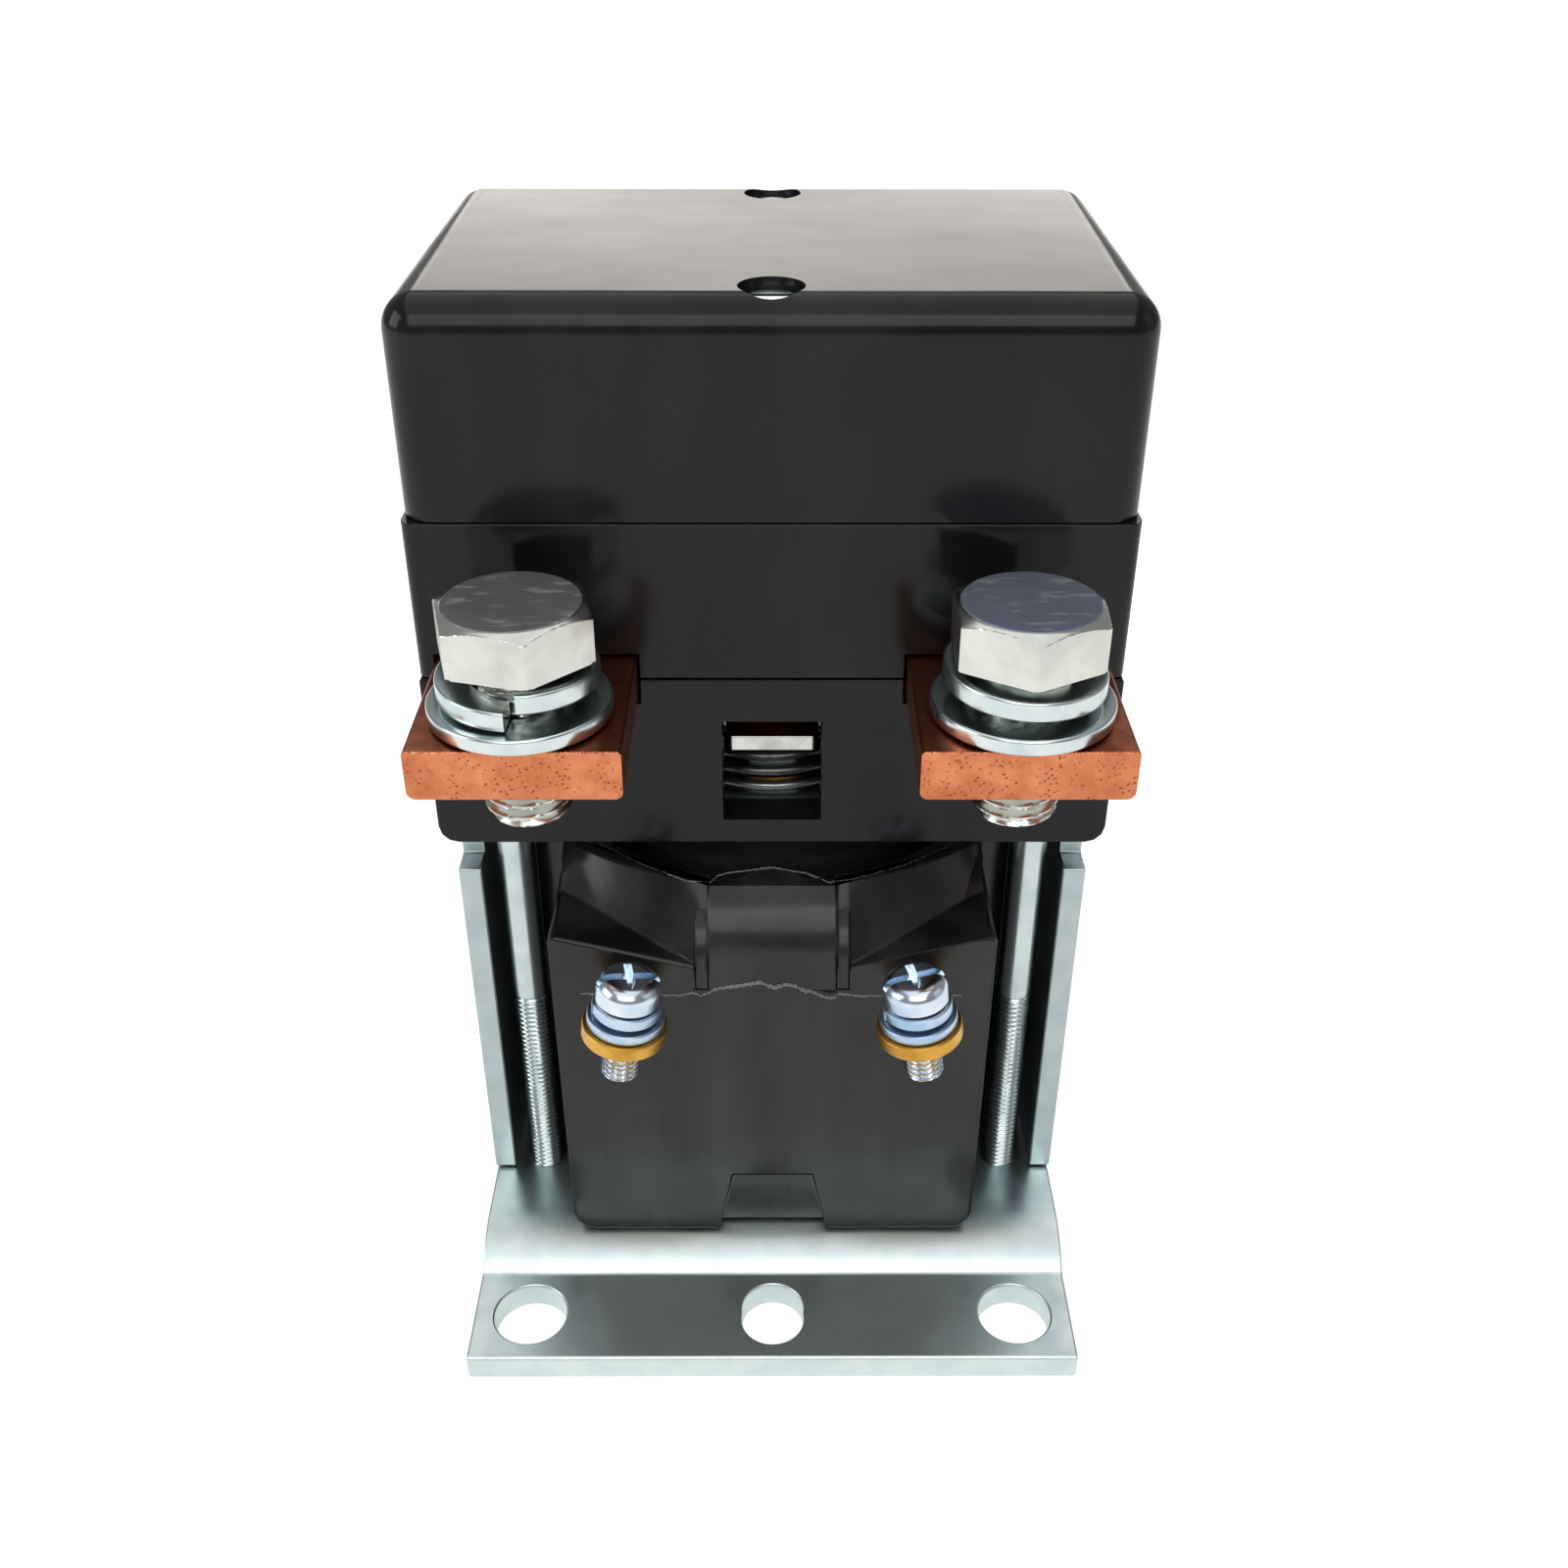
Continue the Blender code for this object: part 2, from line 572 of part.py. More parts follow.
def wire_spring(name, radii, low, high, wire, turns, kind):
    """A coil of round wire between two heights, with a flat turn at each end."""
    curve = bpy.data.curves.new(name, "CURVE")
    curve.dimensions = "3D"
    curve.bevel_depth = wire / 2
    curve.bevel_resolution = SPRING_SIDES
    curve.use_fill_caps = True
    all_turns = turns + 2 * SPRING_END_TURN
    count = int(SPRING_STEPS * all_turns)
    end_share = SPRING_END_TURN / all_turns
    spline = curve.splines.new("POLY")
    spline.points.add(count)
    for i, point in enumerate(spline.points):
        share = i / count
        climb = min(1.0, max(0.0, (share - end_share) / (1 - 2 * end_share)))
        radius = radii[0] + (radii[1] - radii[0]) * climb
        angle = 2 * math.pi * all_turns * share
        height = low + wire / 2 + (high - low - wire) * climb
        point.co = (radius * math.cos(angle), radius * math.sin(angle), height, 1.0)
    guide = bpy.data.objects.new(name, curve)
    bpy.context.scene.collection.objects.link(guide)
    bpy.context.view_layer.update()
    mesh, _ = as_mesh(guide)
    mesh.name = name
    return smooth(add(name, mesh, kind))


def split_ring(name, outer, width, thickness, rise, bottom, split_at, kind):
    """A spring washer: a square-section ring that is split and climbs a little."""
    opening = SPLIT_OPENING
    mesh = bpy.data.meshes.new(name)
    section = [(outer, thickness), (outer, 0.0), (outer - width, 0.0), (outer - width, thickness)]
    corners = [(radius, 0.0, height) for radius, height in section]
    mesh.from_pydata(corners, [(0, 1), (1, 2), (2, 3), (3, 0)], [])
    guide = bpy.data.objects.new(name, mesh)
    bpy.context.scene.collection.objects.link(guide)
    screw = guide.modifiers.new("climb", "SCREW")
    screw.angle = 2 * math.pi - opening
    screw.screw_offset = rise
    screw.steps = ROUND
    screw.render_steps = ROUND
    screw.use_smooth_shade = False
    bpy.context.view_layer.update()
    ring, _ = as_mesh(guide)
    cage = bmesh.new()
    cage.from_mesh(ring)
    bmesh.ops.holes_fill(cage, edges=[edge for edge in cage.edges if edge.is_boundary])
    bmesh.ops.recalc_face_normals(cage, faces=cage.faces)
    cage.to_mesh(ring)
    cage.free()
    turn = Matrix.Rotation(split_at + opening / 2, 4, "Z")
    ring.transform(Matrix.Translation((0.0, 0.0, bottom)) @ turn)
    ring.name = name
    return smooth(add(name, ring, kind))


def hexagon(name, flats, low, high, at, kind=None):
    """A hexagonal head with its top corners turned away."""
    corner = flats / math.sqrt(3)
    head = cylinder(name, corner, low, high, at, 6, kind, turn=math.radians(30))
    head.data.shade_flat()
    start = CHAMFER_SHARE * flats / 2
    drop = (corner + GAP - start) * math.tan(HEAD_CHAMFER)
    above = high + GAP / 10
    shape = turned(name + "_chamfer", [
        (0.0, above), (start, above), (corner + GAP, high - drop),
        (corner + GAP, low - GAP), (0.0, low - GAP)], at, HEXAGON_STEPS)
    return boolean(head, shape, "INTERSECT")


# Mounting bracket

def bracket_profile():
    """Side view of the bracket in (y, z): two feet and a raised middle."""
    end = BRACKET_DEPTH / 2
    foot = end - FOOT_DEPTH
    slope = math.atan2(BRACKET_STEP, STEP_RUN)
    shift = BRACKET_THICKNESS * math.tan(slope / 2)
    half = [
        (foot - STEP_RUN, RAISED_TOP, BEND_OUTER), (foot, BRACKET_THICKNESS, BEND_INNER),
        (end, BRACKET_THICKNESS, FOOT_END_RADIUS), (end, 0.0, FOOT_END_RADIUS),
        (foot - shift, 0.0, BEND_OUTER), (foot - STEP_RUN - shift, BRACKET_STEP, BEND_INNER)]
    other = [(-y, z, radius) for y, z, radius in reversed(half)]
    return rounded(half + other)


def slot_outline(x, y):
    """A slot that is longer along Y, with round ends."""
    radius = SLOT_WIDTH / 2
    reach = (SLOT_LENGTH - SLOT_WIDTH) / 2
    upper = arc((x, y + reach), radius, 0.0, math.pi, ROUND // 2)
    lower = arc((x, y - reach), radius, math.pi, 2 * math.pi, ROUND // 2)
    return upper + lower


def make_bracket():
    """The bracket with three holes in each foot and holes for screws and tenons."""
    half = BRACKET_WIDTH / 2
    bracket = extruded("base_bracket", [bracket_profile()], -half, half, "X", "zinc_steel")
    low, high = -GAP, RAISED_TOP + GAP
    hole_y = BRACKET_DEPTH / 2 - FOOT_HOLE_SETBACK
    for y in (-hole_y, hole_y):
        for x in (-FOOT_HOLE_SPACING / 2, FOOT_HOLE_SPACING / 2):
            cut(bracket, cylinder("foot_hole", FOOT_HOLE_RADIUS, low, high, (x, y)))
        cut(bracket, extruded("foot_slot", [slot_outline(0.0, y)], low, high, "Z"))
    for x in (-FRAME_SCREW_X, FRAME_SCREW_X):
        for y in (-FRAME_SCREW_Y, FRAME_SCREW_Y):
            hole = FRAME_SCREW_RADIUS + GAP
            cut(bracket, cylinder("frame_screw_hole", hole, low, high, (x, y), SMALL))
    cut(bracket, cylinder("core_screw_hole", CORE_SCREW_RADIUS + GAP, low, high, steps=SMALL))
    inner = FRAME_WIDTH / 2 - SIDE_PLATE_THICKNESS - GAP
    reach = FOOT_TENON_WIDTH / 2 + GAP
    for side in (-1, 1):
        across = sorted((side * inner, side * (half + SIDE_PLATE_THICKNESS)))
        cut(bracket, block("tenon_slot", across, (-reach, reach), (low, high)))
    return bracket


# Magnet frame

def side_plate_outline():
    """A side plate in (y, z): foot tenon, ledges, shoulders and top tongue."""
    edge = SIDE_PLATE_DEPTH / 2
    shoulder = edge - SHOULDER_SETBACK
    tongue = TONGUE_WIDTH / 2
    tenon = FOOT_TENON_WIDTH / 2
    half = [
        (tenon, BRACKET_STEP + GAP, 0.0), (tenon, FRAME_FOOT, 0.0),
        (edge, FRAME_FOOT, STAMPED_EDGE), (edge, LEDGE_Z, STAMPED_EDGE),
        (shoulder, LEDGE_Z, STAMPED_EDGE), (shoulder, POLE_Z - GAP, STAMPED_EDGE),
        (tongue, POLE_Z - GAP, 0.0), (tongue, POLE_TOP, STAMPED_EDGE)]
    other = [(-y, z, radius) for y, z, radius in reversed(half)]
    return rounded(half + other)


def make_frame():
    """Two side plates and the pole plate that their tongues pass through."""
    outer = FRAME_WIDTH / 2
    inner = outer - SIDE_PLATE_THICKNESS
    for name, side in (("side_plate_left", -1), ("side_plate_right", 1)):
        low, high = sorted((side * inner, side * outer))
        extruded(name, [side_plate_outline()], low, high, "X", "zinc_steel")
    depth = POLE_PLATE_DEPTH / 2
    notch_x = inner - GAP
    notch_y = TONGUE_WIDTH / 2 + GAP
    quarter = [(outer, depth, POLE_PLATE_CORNER), (outer, notch_y, 0.0), (notch_x, notch_y, 0.0)]
    right = quarter + [(x, -y, radius) for x, y, radius in reversed(quarter)]
    left = [(-x, -y, radius) for x, y, radius in right]
    bore = circle(TUBE_RADIUS + TUBE_WALL + GAP, steps=FINE)
    extruded("pole_plate", [rounded(right + left), bore], POLE_Z, POLE_TOP, "Z", "zinc_steel")


def make_frame_screws():
    """Four long screws, from seats in the lower moulding down into the bracket."""
    seat = LOWER_Z + FRAME_SCREW_SEAT + GAP
    end = BRACKET_STEP + FRAME_SCREW_END
    radius = FRAME_SCREW_RADIUS
    head = FRAME_SCREW_HEAD_RADIUS
    top = seat + FRAME_SCREW_HEAD_HEIGHT
    chamfer = SCREW_CHAMFER
    profile = [
        (0.0, top), (head - chamfer, top), (head, top - chamfer), (head, seat), (radius, seat),
        (radius, end + chamfer), (radius - chamfer, end), (0.0, end)]
    for y_name, y in (("front", -FRAME_SCREW_Y), ("rear", FRAME_SCREW_Y)):
        for x_name, x in (("left", -FRAME_SCREW_X), ("right", FRAME_SCREW_X)):
            name = f"frame_screw_{y_name}_{x_name}"
            screw = turned(name, profile, (x, y), SMALL, "zinc_steel")
            socket = head * SOCKET_SHARE
            cut(screw, cylinder("frame_socket", socket, top - socket, top + GAP, (x, y), 6))


# Coil

def loft(name, rings, kind=None):
    """A closed skin over rings of points that match one to one, from the lowest ring up."""
    count = len(rings[0])
    points = [point for ring in rings for point in ring]
    faces = [list(range(count))[::-1], [len(points) - count + k for k in range(count)]]
    for level in range(len(rings) - 1):
        for k in range(count):
            a, b = level * count + k, level * count + (k + 1) % count
            faces.append([a, b, b + count, a + count])
    mesh = bpy.data.meshes.new(name)
    mesh.from_pydata(points, [], faces)
    return add(name, mesh, kind)


def make_neck():
    """The coil's neck: its foot crosses the shoulders and its wall leans back to a bowed rim."""
    half = COIL_WIDTH / 2 - GAP
    boss = BOSS_FOOT_WIDTH / 2
    rise = CREST_FRONT - CREST_SIDE
    radius = (half * half + rise * rise) / (2 * rise)
    side_steps = ROUND // 4
    across = [half + (boss - half) * k / side_steps for k in range(side_steps)] + [boss]
    across = [-x for x in across] + across[::-1]
    back = rounded([
        (half, 0.0, 0.0), (half, CREST_BACK, CREST_BACK_RADIUS), (-half, CREST_BACK, CREST_BACK_RADIUS),
        (-half, 0.0, 0.0)])
    root, foot, rim = [], [], []
    for x in across:
        share = (half - abs(x)) / (half - boss)
        y = -NECK_CORNER - share * (COIL_FRONT - GAP - NECK_CORNER)
        root.append((x, y, FRAME_FOOT + CREST_ROOT))
        foot.append((x, y, SHOULDER_Z - GAP - TROUGH_DEPTH * share))
        rim.append((x, radius - CREST_FRONT - math.sqrt(radius * radius - x * x), COIL_TOP))
    for ring, z in ((root, FRAME_FOOT + CREST_ROOT), (foot, SHOULDER_Z - GAP), (rim, COIL_TOP)):
        ring.extend((x, y, z) for x, y in back)
    return loft("coil_neck", [root, foot, rim])


def make_boss(name, half, front, top):
    """A rib on the front of the coil that bends back in one long curve and ends on the neck."""
    root = FRAME_FOOT + BOSS_ROOT
    back = -CREST_FRONT
    run = front + back
    rise = top - (FRAME_FOOT + BOSS_BEND)
    radius = (run * run + rise * rise) / (2 * run)
    turn = math.asin(rise / radius)
    bend = arc((radius - front, FRAME_FOOT + BOSS_BEND), radius, math.pi, math.pi - turn, BOSS_STEPS)
    outline = [(-front, root)] + bend + [(-CREST_SIDE, top), (-CREST_SIDE, root)]
    return extruded(name, [outline], -half, half, "X")


def make_coil():
    """The moulded coil: sloped shoulders, a leaning neck, a boss, a belly and a foot notch."""
    foot = FRAME_FOOT
    half = COIL_WIDTH / 2
    top = half + COIL_FLARE
    trough = BOSS_FOOT_WIDTH / 2
    low_shoulder = SHOULDER_Z - TROUGH_DEPTH
    face = rounded([
        (-half, foot, COIL_FOOT_RADIUS), (half, foot, COIL_FOOT_RADIUS),
        (top, SHOULDER_Z, COIL_SHOULDER_RADIUS),
        (trough, low_shoulder, 0.0), (-trough, low_shoulder, 0.0),
        (-top, SHOULDER_Z, COIL_SHOULDER_RADIUS)])
    coil = extruded("coil_moulding", [face], -COIL_FRONT, COIL_BACK, "Y", "coil_thermoset")
    bevel(coil, COIL_EDGE, 2, 60)

    belly_x = FRAME_WIDTH / 2 - SIDE_PLATE_THICKNESS - BELLY_PLATE_CLEARANCE
    belly_y = FRAME_SCREW_Y - FRAME_SCREW_RADIUS - BELLY_SCREW_CLEARANCE
    belly = extruded(
        "coil_belly", [rectangle(belly_x, -belly_y, belly_y, BELLY_RADIUS)], foot + GAP, COIL_TOP - GAP, "Z")
    wide_boss = make_boss("boss_foot", trough, COIL_FRONT + GAP, COIL_TOP - BOSS_FOOT_DROP)
    boss = make_boss("coil_boss", BOSS_WIDTH / 2, COIL_FRONT + BOSS_PROUD, COIL_TOP)
    join(coil, make_neck(), belly, wide_boss, boss)

    rim = cylinder("rim_recess", RECESS_RADIUS, COIL_TOP - RECESS_DEPTH, COIL_TOP + GAP, steps=FINE)
    lug = cylinder(
        "rim_lug", LUG_RADIUS, COIL_TOP - RECESS_DEPTH - GAP, COIL_TOP + 2 * GAP, (0.0, -LUG_PLACE), SMALL)
    cut(rim, lug)
    notch_half = NOTCH_WIDTH / 2
    notch = loft("coil_notch", [
        [(-notch_half, -COIL_FRONT - GAP, foot - GAP), (notch_half, -COIL_FRONT - GAP, foot - GAP),
         (notch_half, NOTCH_DEPTH - COIL_FRONT, foot - GAP), (-notch_half, NOTCH_DEPTH - COIL_FRONT, foot - GAP)],
        [(-NOTCH_TOP_WIDTH / 2, -COIL_FRONT - GAP, foot + NOTCH_HEIGHT),
         (NOTCH_TOP_WIDTH / 2, -COIL_FRONT - GAP, foot + NOTCH_HEIGHT),
         (NOTCH_TOP_WIDTH / 2, GAP - COIL_FRONT, foot + NOTCH_HEIGHT),
         (-NOTCH_TOP_WIDTH / 2, GAP - COIL_FRONT, foot + NOTCH_HEIGHT)]])
    bore = cylinder("winding_bore", BOBBIN_RADIUS + GAP, foot - GAP, COIL_TOP + GAP, steps=FINE)
    cut(coil, notch, bore, rim)
    for side in (-1, 1):
        nick_x = side * NICK_PLACE
        cut(coil, tab_shape("tab_pocket", side, GAP), block(
            "rim_nick", (nick_x - NICK_WIDTH / 2, nick_x + NICK_WIDTH / 2),
            (-RECESS_RADIUS - NICK_WIDTH, -RECESS_RADIUS + NICK_WIDTH),
            (COIL_TOP - NICK_WIDTH, COIL_TOP + GAP)))
    return coil


def make_winding():
    """The bobbin with its two flanges, and the winding between them."""
    inner = BOBBIN_BORE
    outer = inner + BOBBIN_WALL
    low, high = FRAME_FOOT, COIL_TOP
    flange = BOBBIN_FLANGE
    turned("bobbin", [
        (inner, high), (BOBBIN_RADIUS, high), (BOBBIN_RADIUS, high - flange), (outer, high - flange),
        (outer, low + flange), (BOBBIN_RADIUS, low + flange), (BOBBIN_RADIUS, low), (inner, low)],
        steps=ROUND, kind="bobbin", closed=True)
    winding_low = low + flange + GAP
    winding_high = high - flange - GAP
    wound = outer + GAP
    turned("winding", [
        (wound, winding_high), (WINDING_RADIUS, winding_high),
        (WINDING_RADIUS, winding_low), (wound, winding_low)],
        steps=ROUND, kind="winding", closed=True)


def tab_place(side):
    """Where a coil terminal sits: turned up on its outer side."""
    move = Matrix.Translation((side * TAB_SPACING / 2, -COIL_FRONT, TAB_Z))
    return move @ Matrix.Rotation(-side * TAB_TILT, 4, "Y")


def tab_shape(name, side, grow, kind=None):
    """A coil terminal tab, or its pocket when it is grown by a clearance."""
    half = TAB_WIDTH / 2 + grow
    front = -TAB_REACH - grow
    root = TAB_ROOT + grow
    corner = TAB_CORNER
    outline = rounded([
        (-half, root, 0.0), (-half, front, corner), (half, front, corner), (half, root, 0.0)])
    tab = extruded(name, [outline], -grow, TAB_THICKNESS + grow, "Z", kind)
    tab.matrix_world = tab_place(side)
    return tab


def make_coil_terminals():
    """Two brass tabs, each with a screw, a spring washer and a flat washer."""
    radius = COIL_SCREW_RADIUS
    flat_z = TAB_THICKNESS + GAP
    spring_z = flat_z + COIL_FLAT_WASHER_THICKNESS + GAP
    seat = spring_z + COIL_SPRING_WASHER_THICKNESS + COIL_SPRING_WASHER_RISE + GAP
    head = COIL_SCREW_HEAD_RADIUS
    top = seat + COIL_SCREW_HEAD_HEIGHT
    dome = COIL_SCREW_DOME
    chamfer = SCREW_CHAMFER
    crown = arc((head - dome, top - dome), dome, math.pi / 2, 0.0, FILLET_STEPS)
    end = seat - COIL_SCREW_LENGTH
    profile = [(0.0, top)] + crown + [
        (head, seat), (radius, seat), (radius, end + chamfer), (radius - chamfer, end), (0.0, end)]
    hole = radius + GAP
    for name, side in (("left", -1), ("right", 1)):
        tab = tab_shape("coil_tab_" + name, side, 0.0, "brass")
        bore = cylinder("tab_hole", hole, -GAP, TAB_THICKNESS + GAP, (0.0, -COIL_SCREW_REACH), SMALL)
        bore.matrix_world = tab_place(side)
        cut(tab, bore)
        place = tab_place(side) @ Matrix.Translation((0.0, -COIL_SCREW_REACH, 0.0))
        washer = turned("coil_flat_washer_" + name, [
            (COIL_FLAT_WASHER_RADIUS, flat_z + COIL_FLAT_WASHER_THICKNESS),
            (COIL_FLAT_WASHER_RADIUS, flat_z), (hole, flat_z),
            (hole, flat_z + COIL_FLAT_WASHER_THICKNESS)], steps=SMALL, kind="blue_zinc", closed=True)
        washer.matrix_world = place
        ring = split_ring(
            "coil_spring_washer_" + name, COIL_SPRING_WASHER_RADIUS, COIL_SPRING_WASHER_WIDTH,
            COIL_SPRING_WASHER_THICKNESS, COIL_SPRING_WASHER_RISE, spring_z,
            COIL_SPRING_WASHER_SPLIT, "blue_zinc")
        ring.matrix_world = place
        screw = turned("coil_screw_" + name, profile, steps=SMALL, kind="blue_zinc")
        screw.matrix_world = place
        half_slot = COIL_SCREW_SLOT / 2
        floor = top - COIL_SCREW_SLOT_DEPTH
        slot = block("screw_slot", (-head, head), (-half_slot, half_slot), (floor, top + GAP))
        slot.matrix_world = place @ Matrix.Rotation(COIL_SCREW_SLOT_TURN, 4, "Z")
        cut(screw, slot)


# Housing

def make_cap():
    """The top cover: a thin shell with a screw column at the front and the back."""
    half_x = BODY_WIDTH / 2 - CAP_INSET
    half_y = BODY_DEPTH / 2 - CAP_INSET
    low = CAP_Z + GAP
    cap = block("top_cap", (-half_x, half_x), (-half_y, half_y), (low, TOP_Z), "black_thermoset")
    weights = cap.data.attributes.new("bevel_weight_edge", "FLOAT", "EDGE")
    for edge in cap.data.edges:
        ends = [cap.data.vertices[i].co.z for i in edge.vertices]
        weights.data[edge.index].value = 0.0 if max(ends) < TOP_Z - GAP else 1.0
    round_edges = cap.modifiers.new("round", "BEVEL")
    round_edges.limit_method = "WEIGHT"
    round_edges.width = CAP_EDGE_RADIUS
    round_edges.segments = CAP_EDGE_STEPS
    wall = CAP_WALL
    room = block(
        "cap_room", (-half_x + wall, half_x - wall), (-half_y + wall, half_y - wall),
        (low - 2 * CAP_ROOM_RADIUS, TOP_Z - wall))
    cut(cap, bevel(room, CAP_ROOM_RADIUS, 2, 60))
    for y in (-CAP_SCREW_Y, CAP_SCREW_Y):
        at = (0.0, y)
        join(cap, cylinder("cap_boss", BOSS_RADIUS, low, TOP_Z - wall / 2, at))
        seat = TOP_Z - CAP_SCREW_SINK - CAP_SCREW_HEAD_HEIGHT - GAP
        cut(cap, cylinder("head_recess", CAP_SCREW_HEAD_RADIUS + SLIDE_GAP, seat, TOP_Z + GAP, at))
        cut(cap, cylinder("cap_screw_hole", CAP_SCREW_RADIUS + GAP, low - GAP, TOP_Z, at, SMALL))
    return cap


def bar_slot(name, side, low, high):
    """Room for a terminal bar in one of the two bodies."""
    inner = TERMINAL_X - BAR_WIDTH / 2 - GAP
    outer = TERMINAL_X + BAR_WIDTH / 2 + GAP
    end = FRONT_Y + BAR_INSIDE + GAP
    return block(name, sorted((side * inner, side * outer)), (FRONT_Y - GAP, end), (low, high))


def make_mid_body():
    """The middle body: a rim of wall round the contacts, over the bars."""
    low, high = JOINT_Z + GAP / 2, CAP_Z
    half_y = BODY_DEPTH / 2
    wall = MID_WALL
    room = rectangle(BODY_WIDTH / 2 - wall, -half_y + wall, half_y - wall, BODY_CORNER_RADIUS)
    outline = rectangle(BODY_WIDTH / 2, -half_y, half_y, BODY_CORNER_RADIUS)
    body = extruded("mid_body", [outline, room], low, high, "Z", "black_thermoset")
    rim_x = BODY_WIDTH / 2 - CAP_INSET - CAP_WALL - GAP
    rim_y = half_y - CAP_INSET - CAP_WALL - GAP
    rim_outer = rectangle(rim_x, -rim_y, rim_y, BODY_CORNER_RADIUS)
    rim_x -= LOCATING_RIB
    rim_y -= LOCATING_RIB
    rim_inner = rectangle(rim_x, -rim_y, rim_y, BODY_CORNER_RADIUS)
    rim_top = high + LOCATING_RIB
    rim = extruded("mid_rim", [rim_outer, rim_inner], high - RIB_ROOT, rim_top, "Z")
    for y in (-CAP_SCREW_Y, CAP_SCREW_Y):
        cut(rim, cylinder("rim_gap", BOSS_RADIUS + GAP, high, rim_top + GAP, (0.0, y)))
    join(body, rim)
    for y in (-CAP_SCREW_Y, CAP_SCREW_Y):
        join(body, cylinder("mid_boss", BOSS_RADIUS, low, high, (0.0, y)))
        hole = CAP_SCREW_RADIUS + GAP
        cut(body, cylinder("mid_screw_hole", hole, low - GAP, high + GAP, (0.0, y), SMALL))
    for side in (-1, 1):
        cut(body, bar_slot("mid_bar_slot", side, low - GAP, BAR_TOP + GAP))
    return body


def make_lower_body():
    """The lower body: seats for the bars and screws, the shaft well and the window."""
    half_x = BODY_WIDTH / 2
    half_y = BODY_DEPTH / 2
    low, high = LOWER_Z, JOINT_Z - GAP / 2
    edge = LOWER_CORNER_RADIUS
    face = rounded([
        (-half_x, low, edge), (half_x, low, edge), (half_x, high, 0.0), (-half_x, high, 0.0)])
    body = extruded("lower_body", [face], -half_y, half_y, "Y", "black_thermoset")
    bevel(body, LOWER_EDGE, 2, 60)
    well = half_y - FRONT_WALL
    spring_well = SPRING_WELL_WIDTH / 2
    shaft_well = SHAFT_WELL_WIDTH / 2
    mid = low + SPRING_WELL_HEIGHT
    cut(body, extruded("well", [[
        (-spring_well, low - GAP), (spring_well, low - GAP), (spring_well, mid), (shaft_well, mid),
        (shaft_well, high + GAP), (-shaft_well, high + GAP), (-shaft_well, mid), (-spring_well, mid)]],
        -well, well, "Y"))
    for y in (-CAP_SCREW_Y, CAP_SCREW_Y):
        anchor = JOINT_Z - CAP_SCREW_ANCHOR - GAP
        join(body, cylinder("lower_boss", BOSS_RADIUS, anchor - ANCHOR_FLOOR, high, (0.0, y)))
        hole = CAP_SCREW_RADIUS + GAP
        cut(body, cylinder("anchor_hole", hole, anchor, high + GAP, (0.0, y), SMALL))
    sill = low + WINDOW_SILL
    window = WINDOW_WIDTH / 2
    through = (-half_y - GAP, -well + GAP)
    cut(body, block("window", (-window, window), through, (sill, sill + WINDOW_HEIGHT)))
    for side in (-1, 1):
        cut(body, bar_slot("lower_bar_slot", side, BAR_UNDER - GAP, high + GAP))
        for y in (-FRAME_SCREW_Y, FRAME_SCREW_Y):
            at = (side * FRAME_SCREW_X, y)
            seat = low + FRAME_SCREW_SEAT
            way = FRAME_SCREW_RADIUS + GAP
            recess = FRAME_SCREW_HEAD_RADIUS + GAP
            cut(body, cylinder("frame_screw_way", way, low - GAP, seat + GAP, at, SMALL))
            cut(body, cylinder("frame_screw_recess", recess, seat, high + GAP, at, SMALL))
    return body


def make_cap_screws():
    """The two screws through the cap and the middle body into the lower body."""
    top = TOP_Z - CAP_SCREW_SINK
    seat = top - CAP_SCREW_HEAD_HEIGHT
    end = JOINT_Z - CAP_SCREW_ANCHOR
    head = CAP_SCREW_HEAD_RADIUS
    radius = CAP_SCREW_RADIUS
    dome = CAP_SCREW_DOME
    crown = arc((head - dome, top - dome), dome, math.pi / 2, 0.0, FILLET_STEPS)
    profile = [(0.0, top)] + crown + [(head, seat), (radius, seat), (radius, end), (0.0, end)]
    for name, y in (("cap_screw_front", -CAP_SCREW_Y), ("cap_screw_rear", CAP_SCREW_Y)):
        screw = turned(name, profile, (0.0, y), SMALL, "zinc_steel")
        half_slot = CAP_SLOT_WIDTH / 2
        floor = top - CAP_SLOT_DEPTH
        cut(screw, block("cap_slot", (-head, head), (y - half_slot, y + half_slot), (floor, top + GAP)))


# Terminals

def make_bars():
    """The copper bars, tapped at the outer end, with a silver tip at the inner end."""
    end = FRONT_Y + BAR_INSIDE
    for name, side in (("left", -1), ("right", 1)):
        middle = side * TERMINAL_X
        half = BAR_WIDTH / 2
        bar = block(
            "terminal_bar_" + name, (middle - half, middle + half), (BAR_END_Y, end),
            (BAR_UNDER, BAR_TOP), "copper")
        bevel(bar, BAR_EDGE, 2)
        at = (middle, TERMINAL_Y)
        cut(bar, cylinder("bar_hole", BOLT_RADIUS + GAP, BAR_UNDER - GAP, BAR_TOP + GAP, at))
        tip = TIP_SIZE / 2
        tip_x = side * TIP_SPACING / 2
        bevel(block(
            "fixed_tip_" + name, (tip_x - tip, tip_x + tip), (-tip, tip),
            (BAR_TOP + GAP, BAR_TOP + GAP + FIXED_TIP_HEIGHT), "silver"), TIP_EDGE, 2)


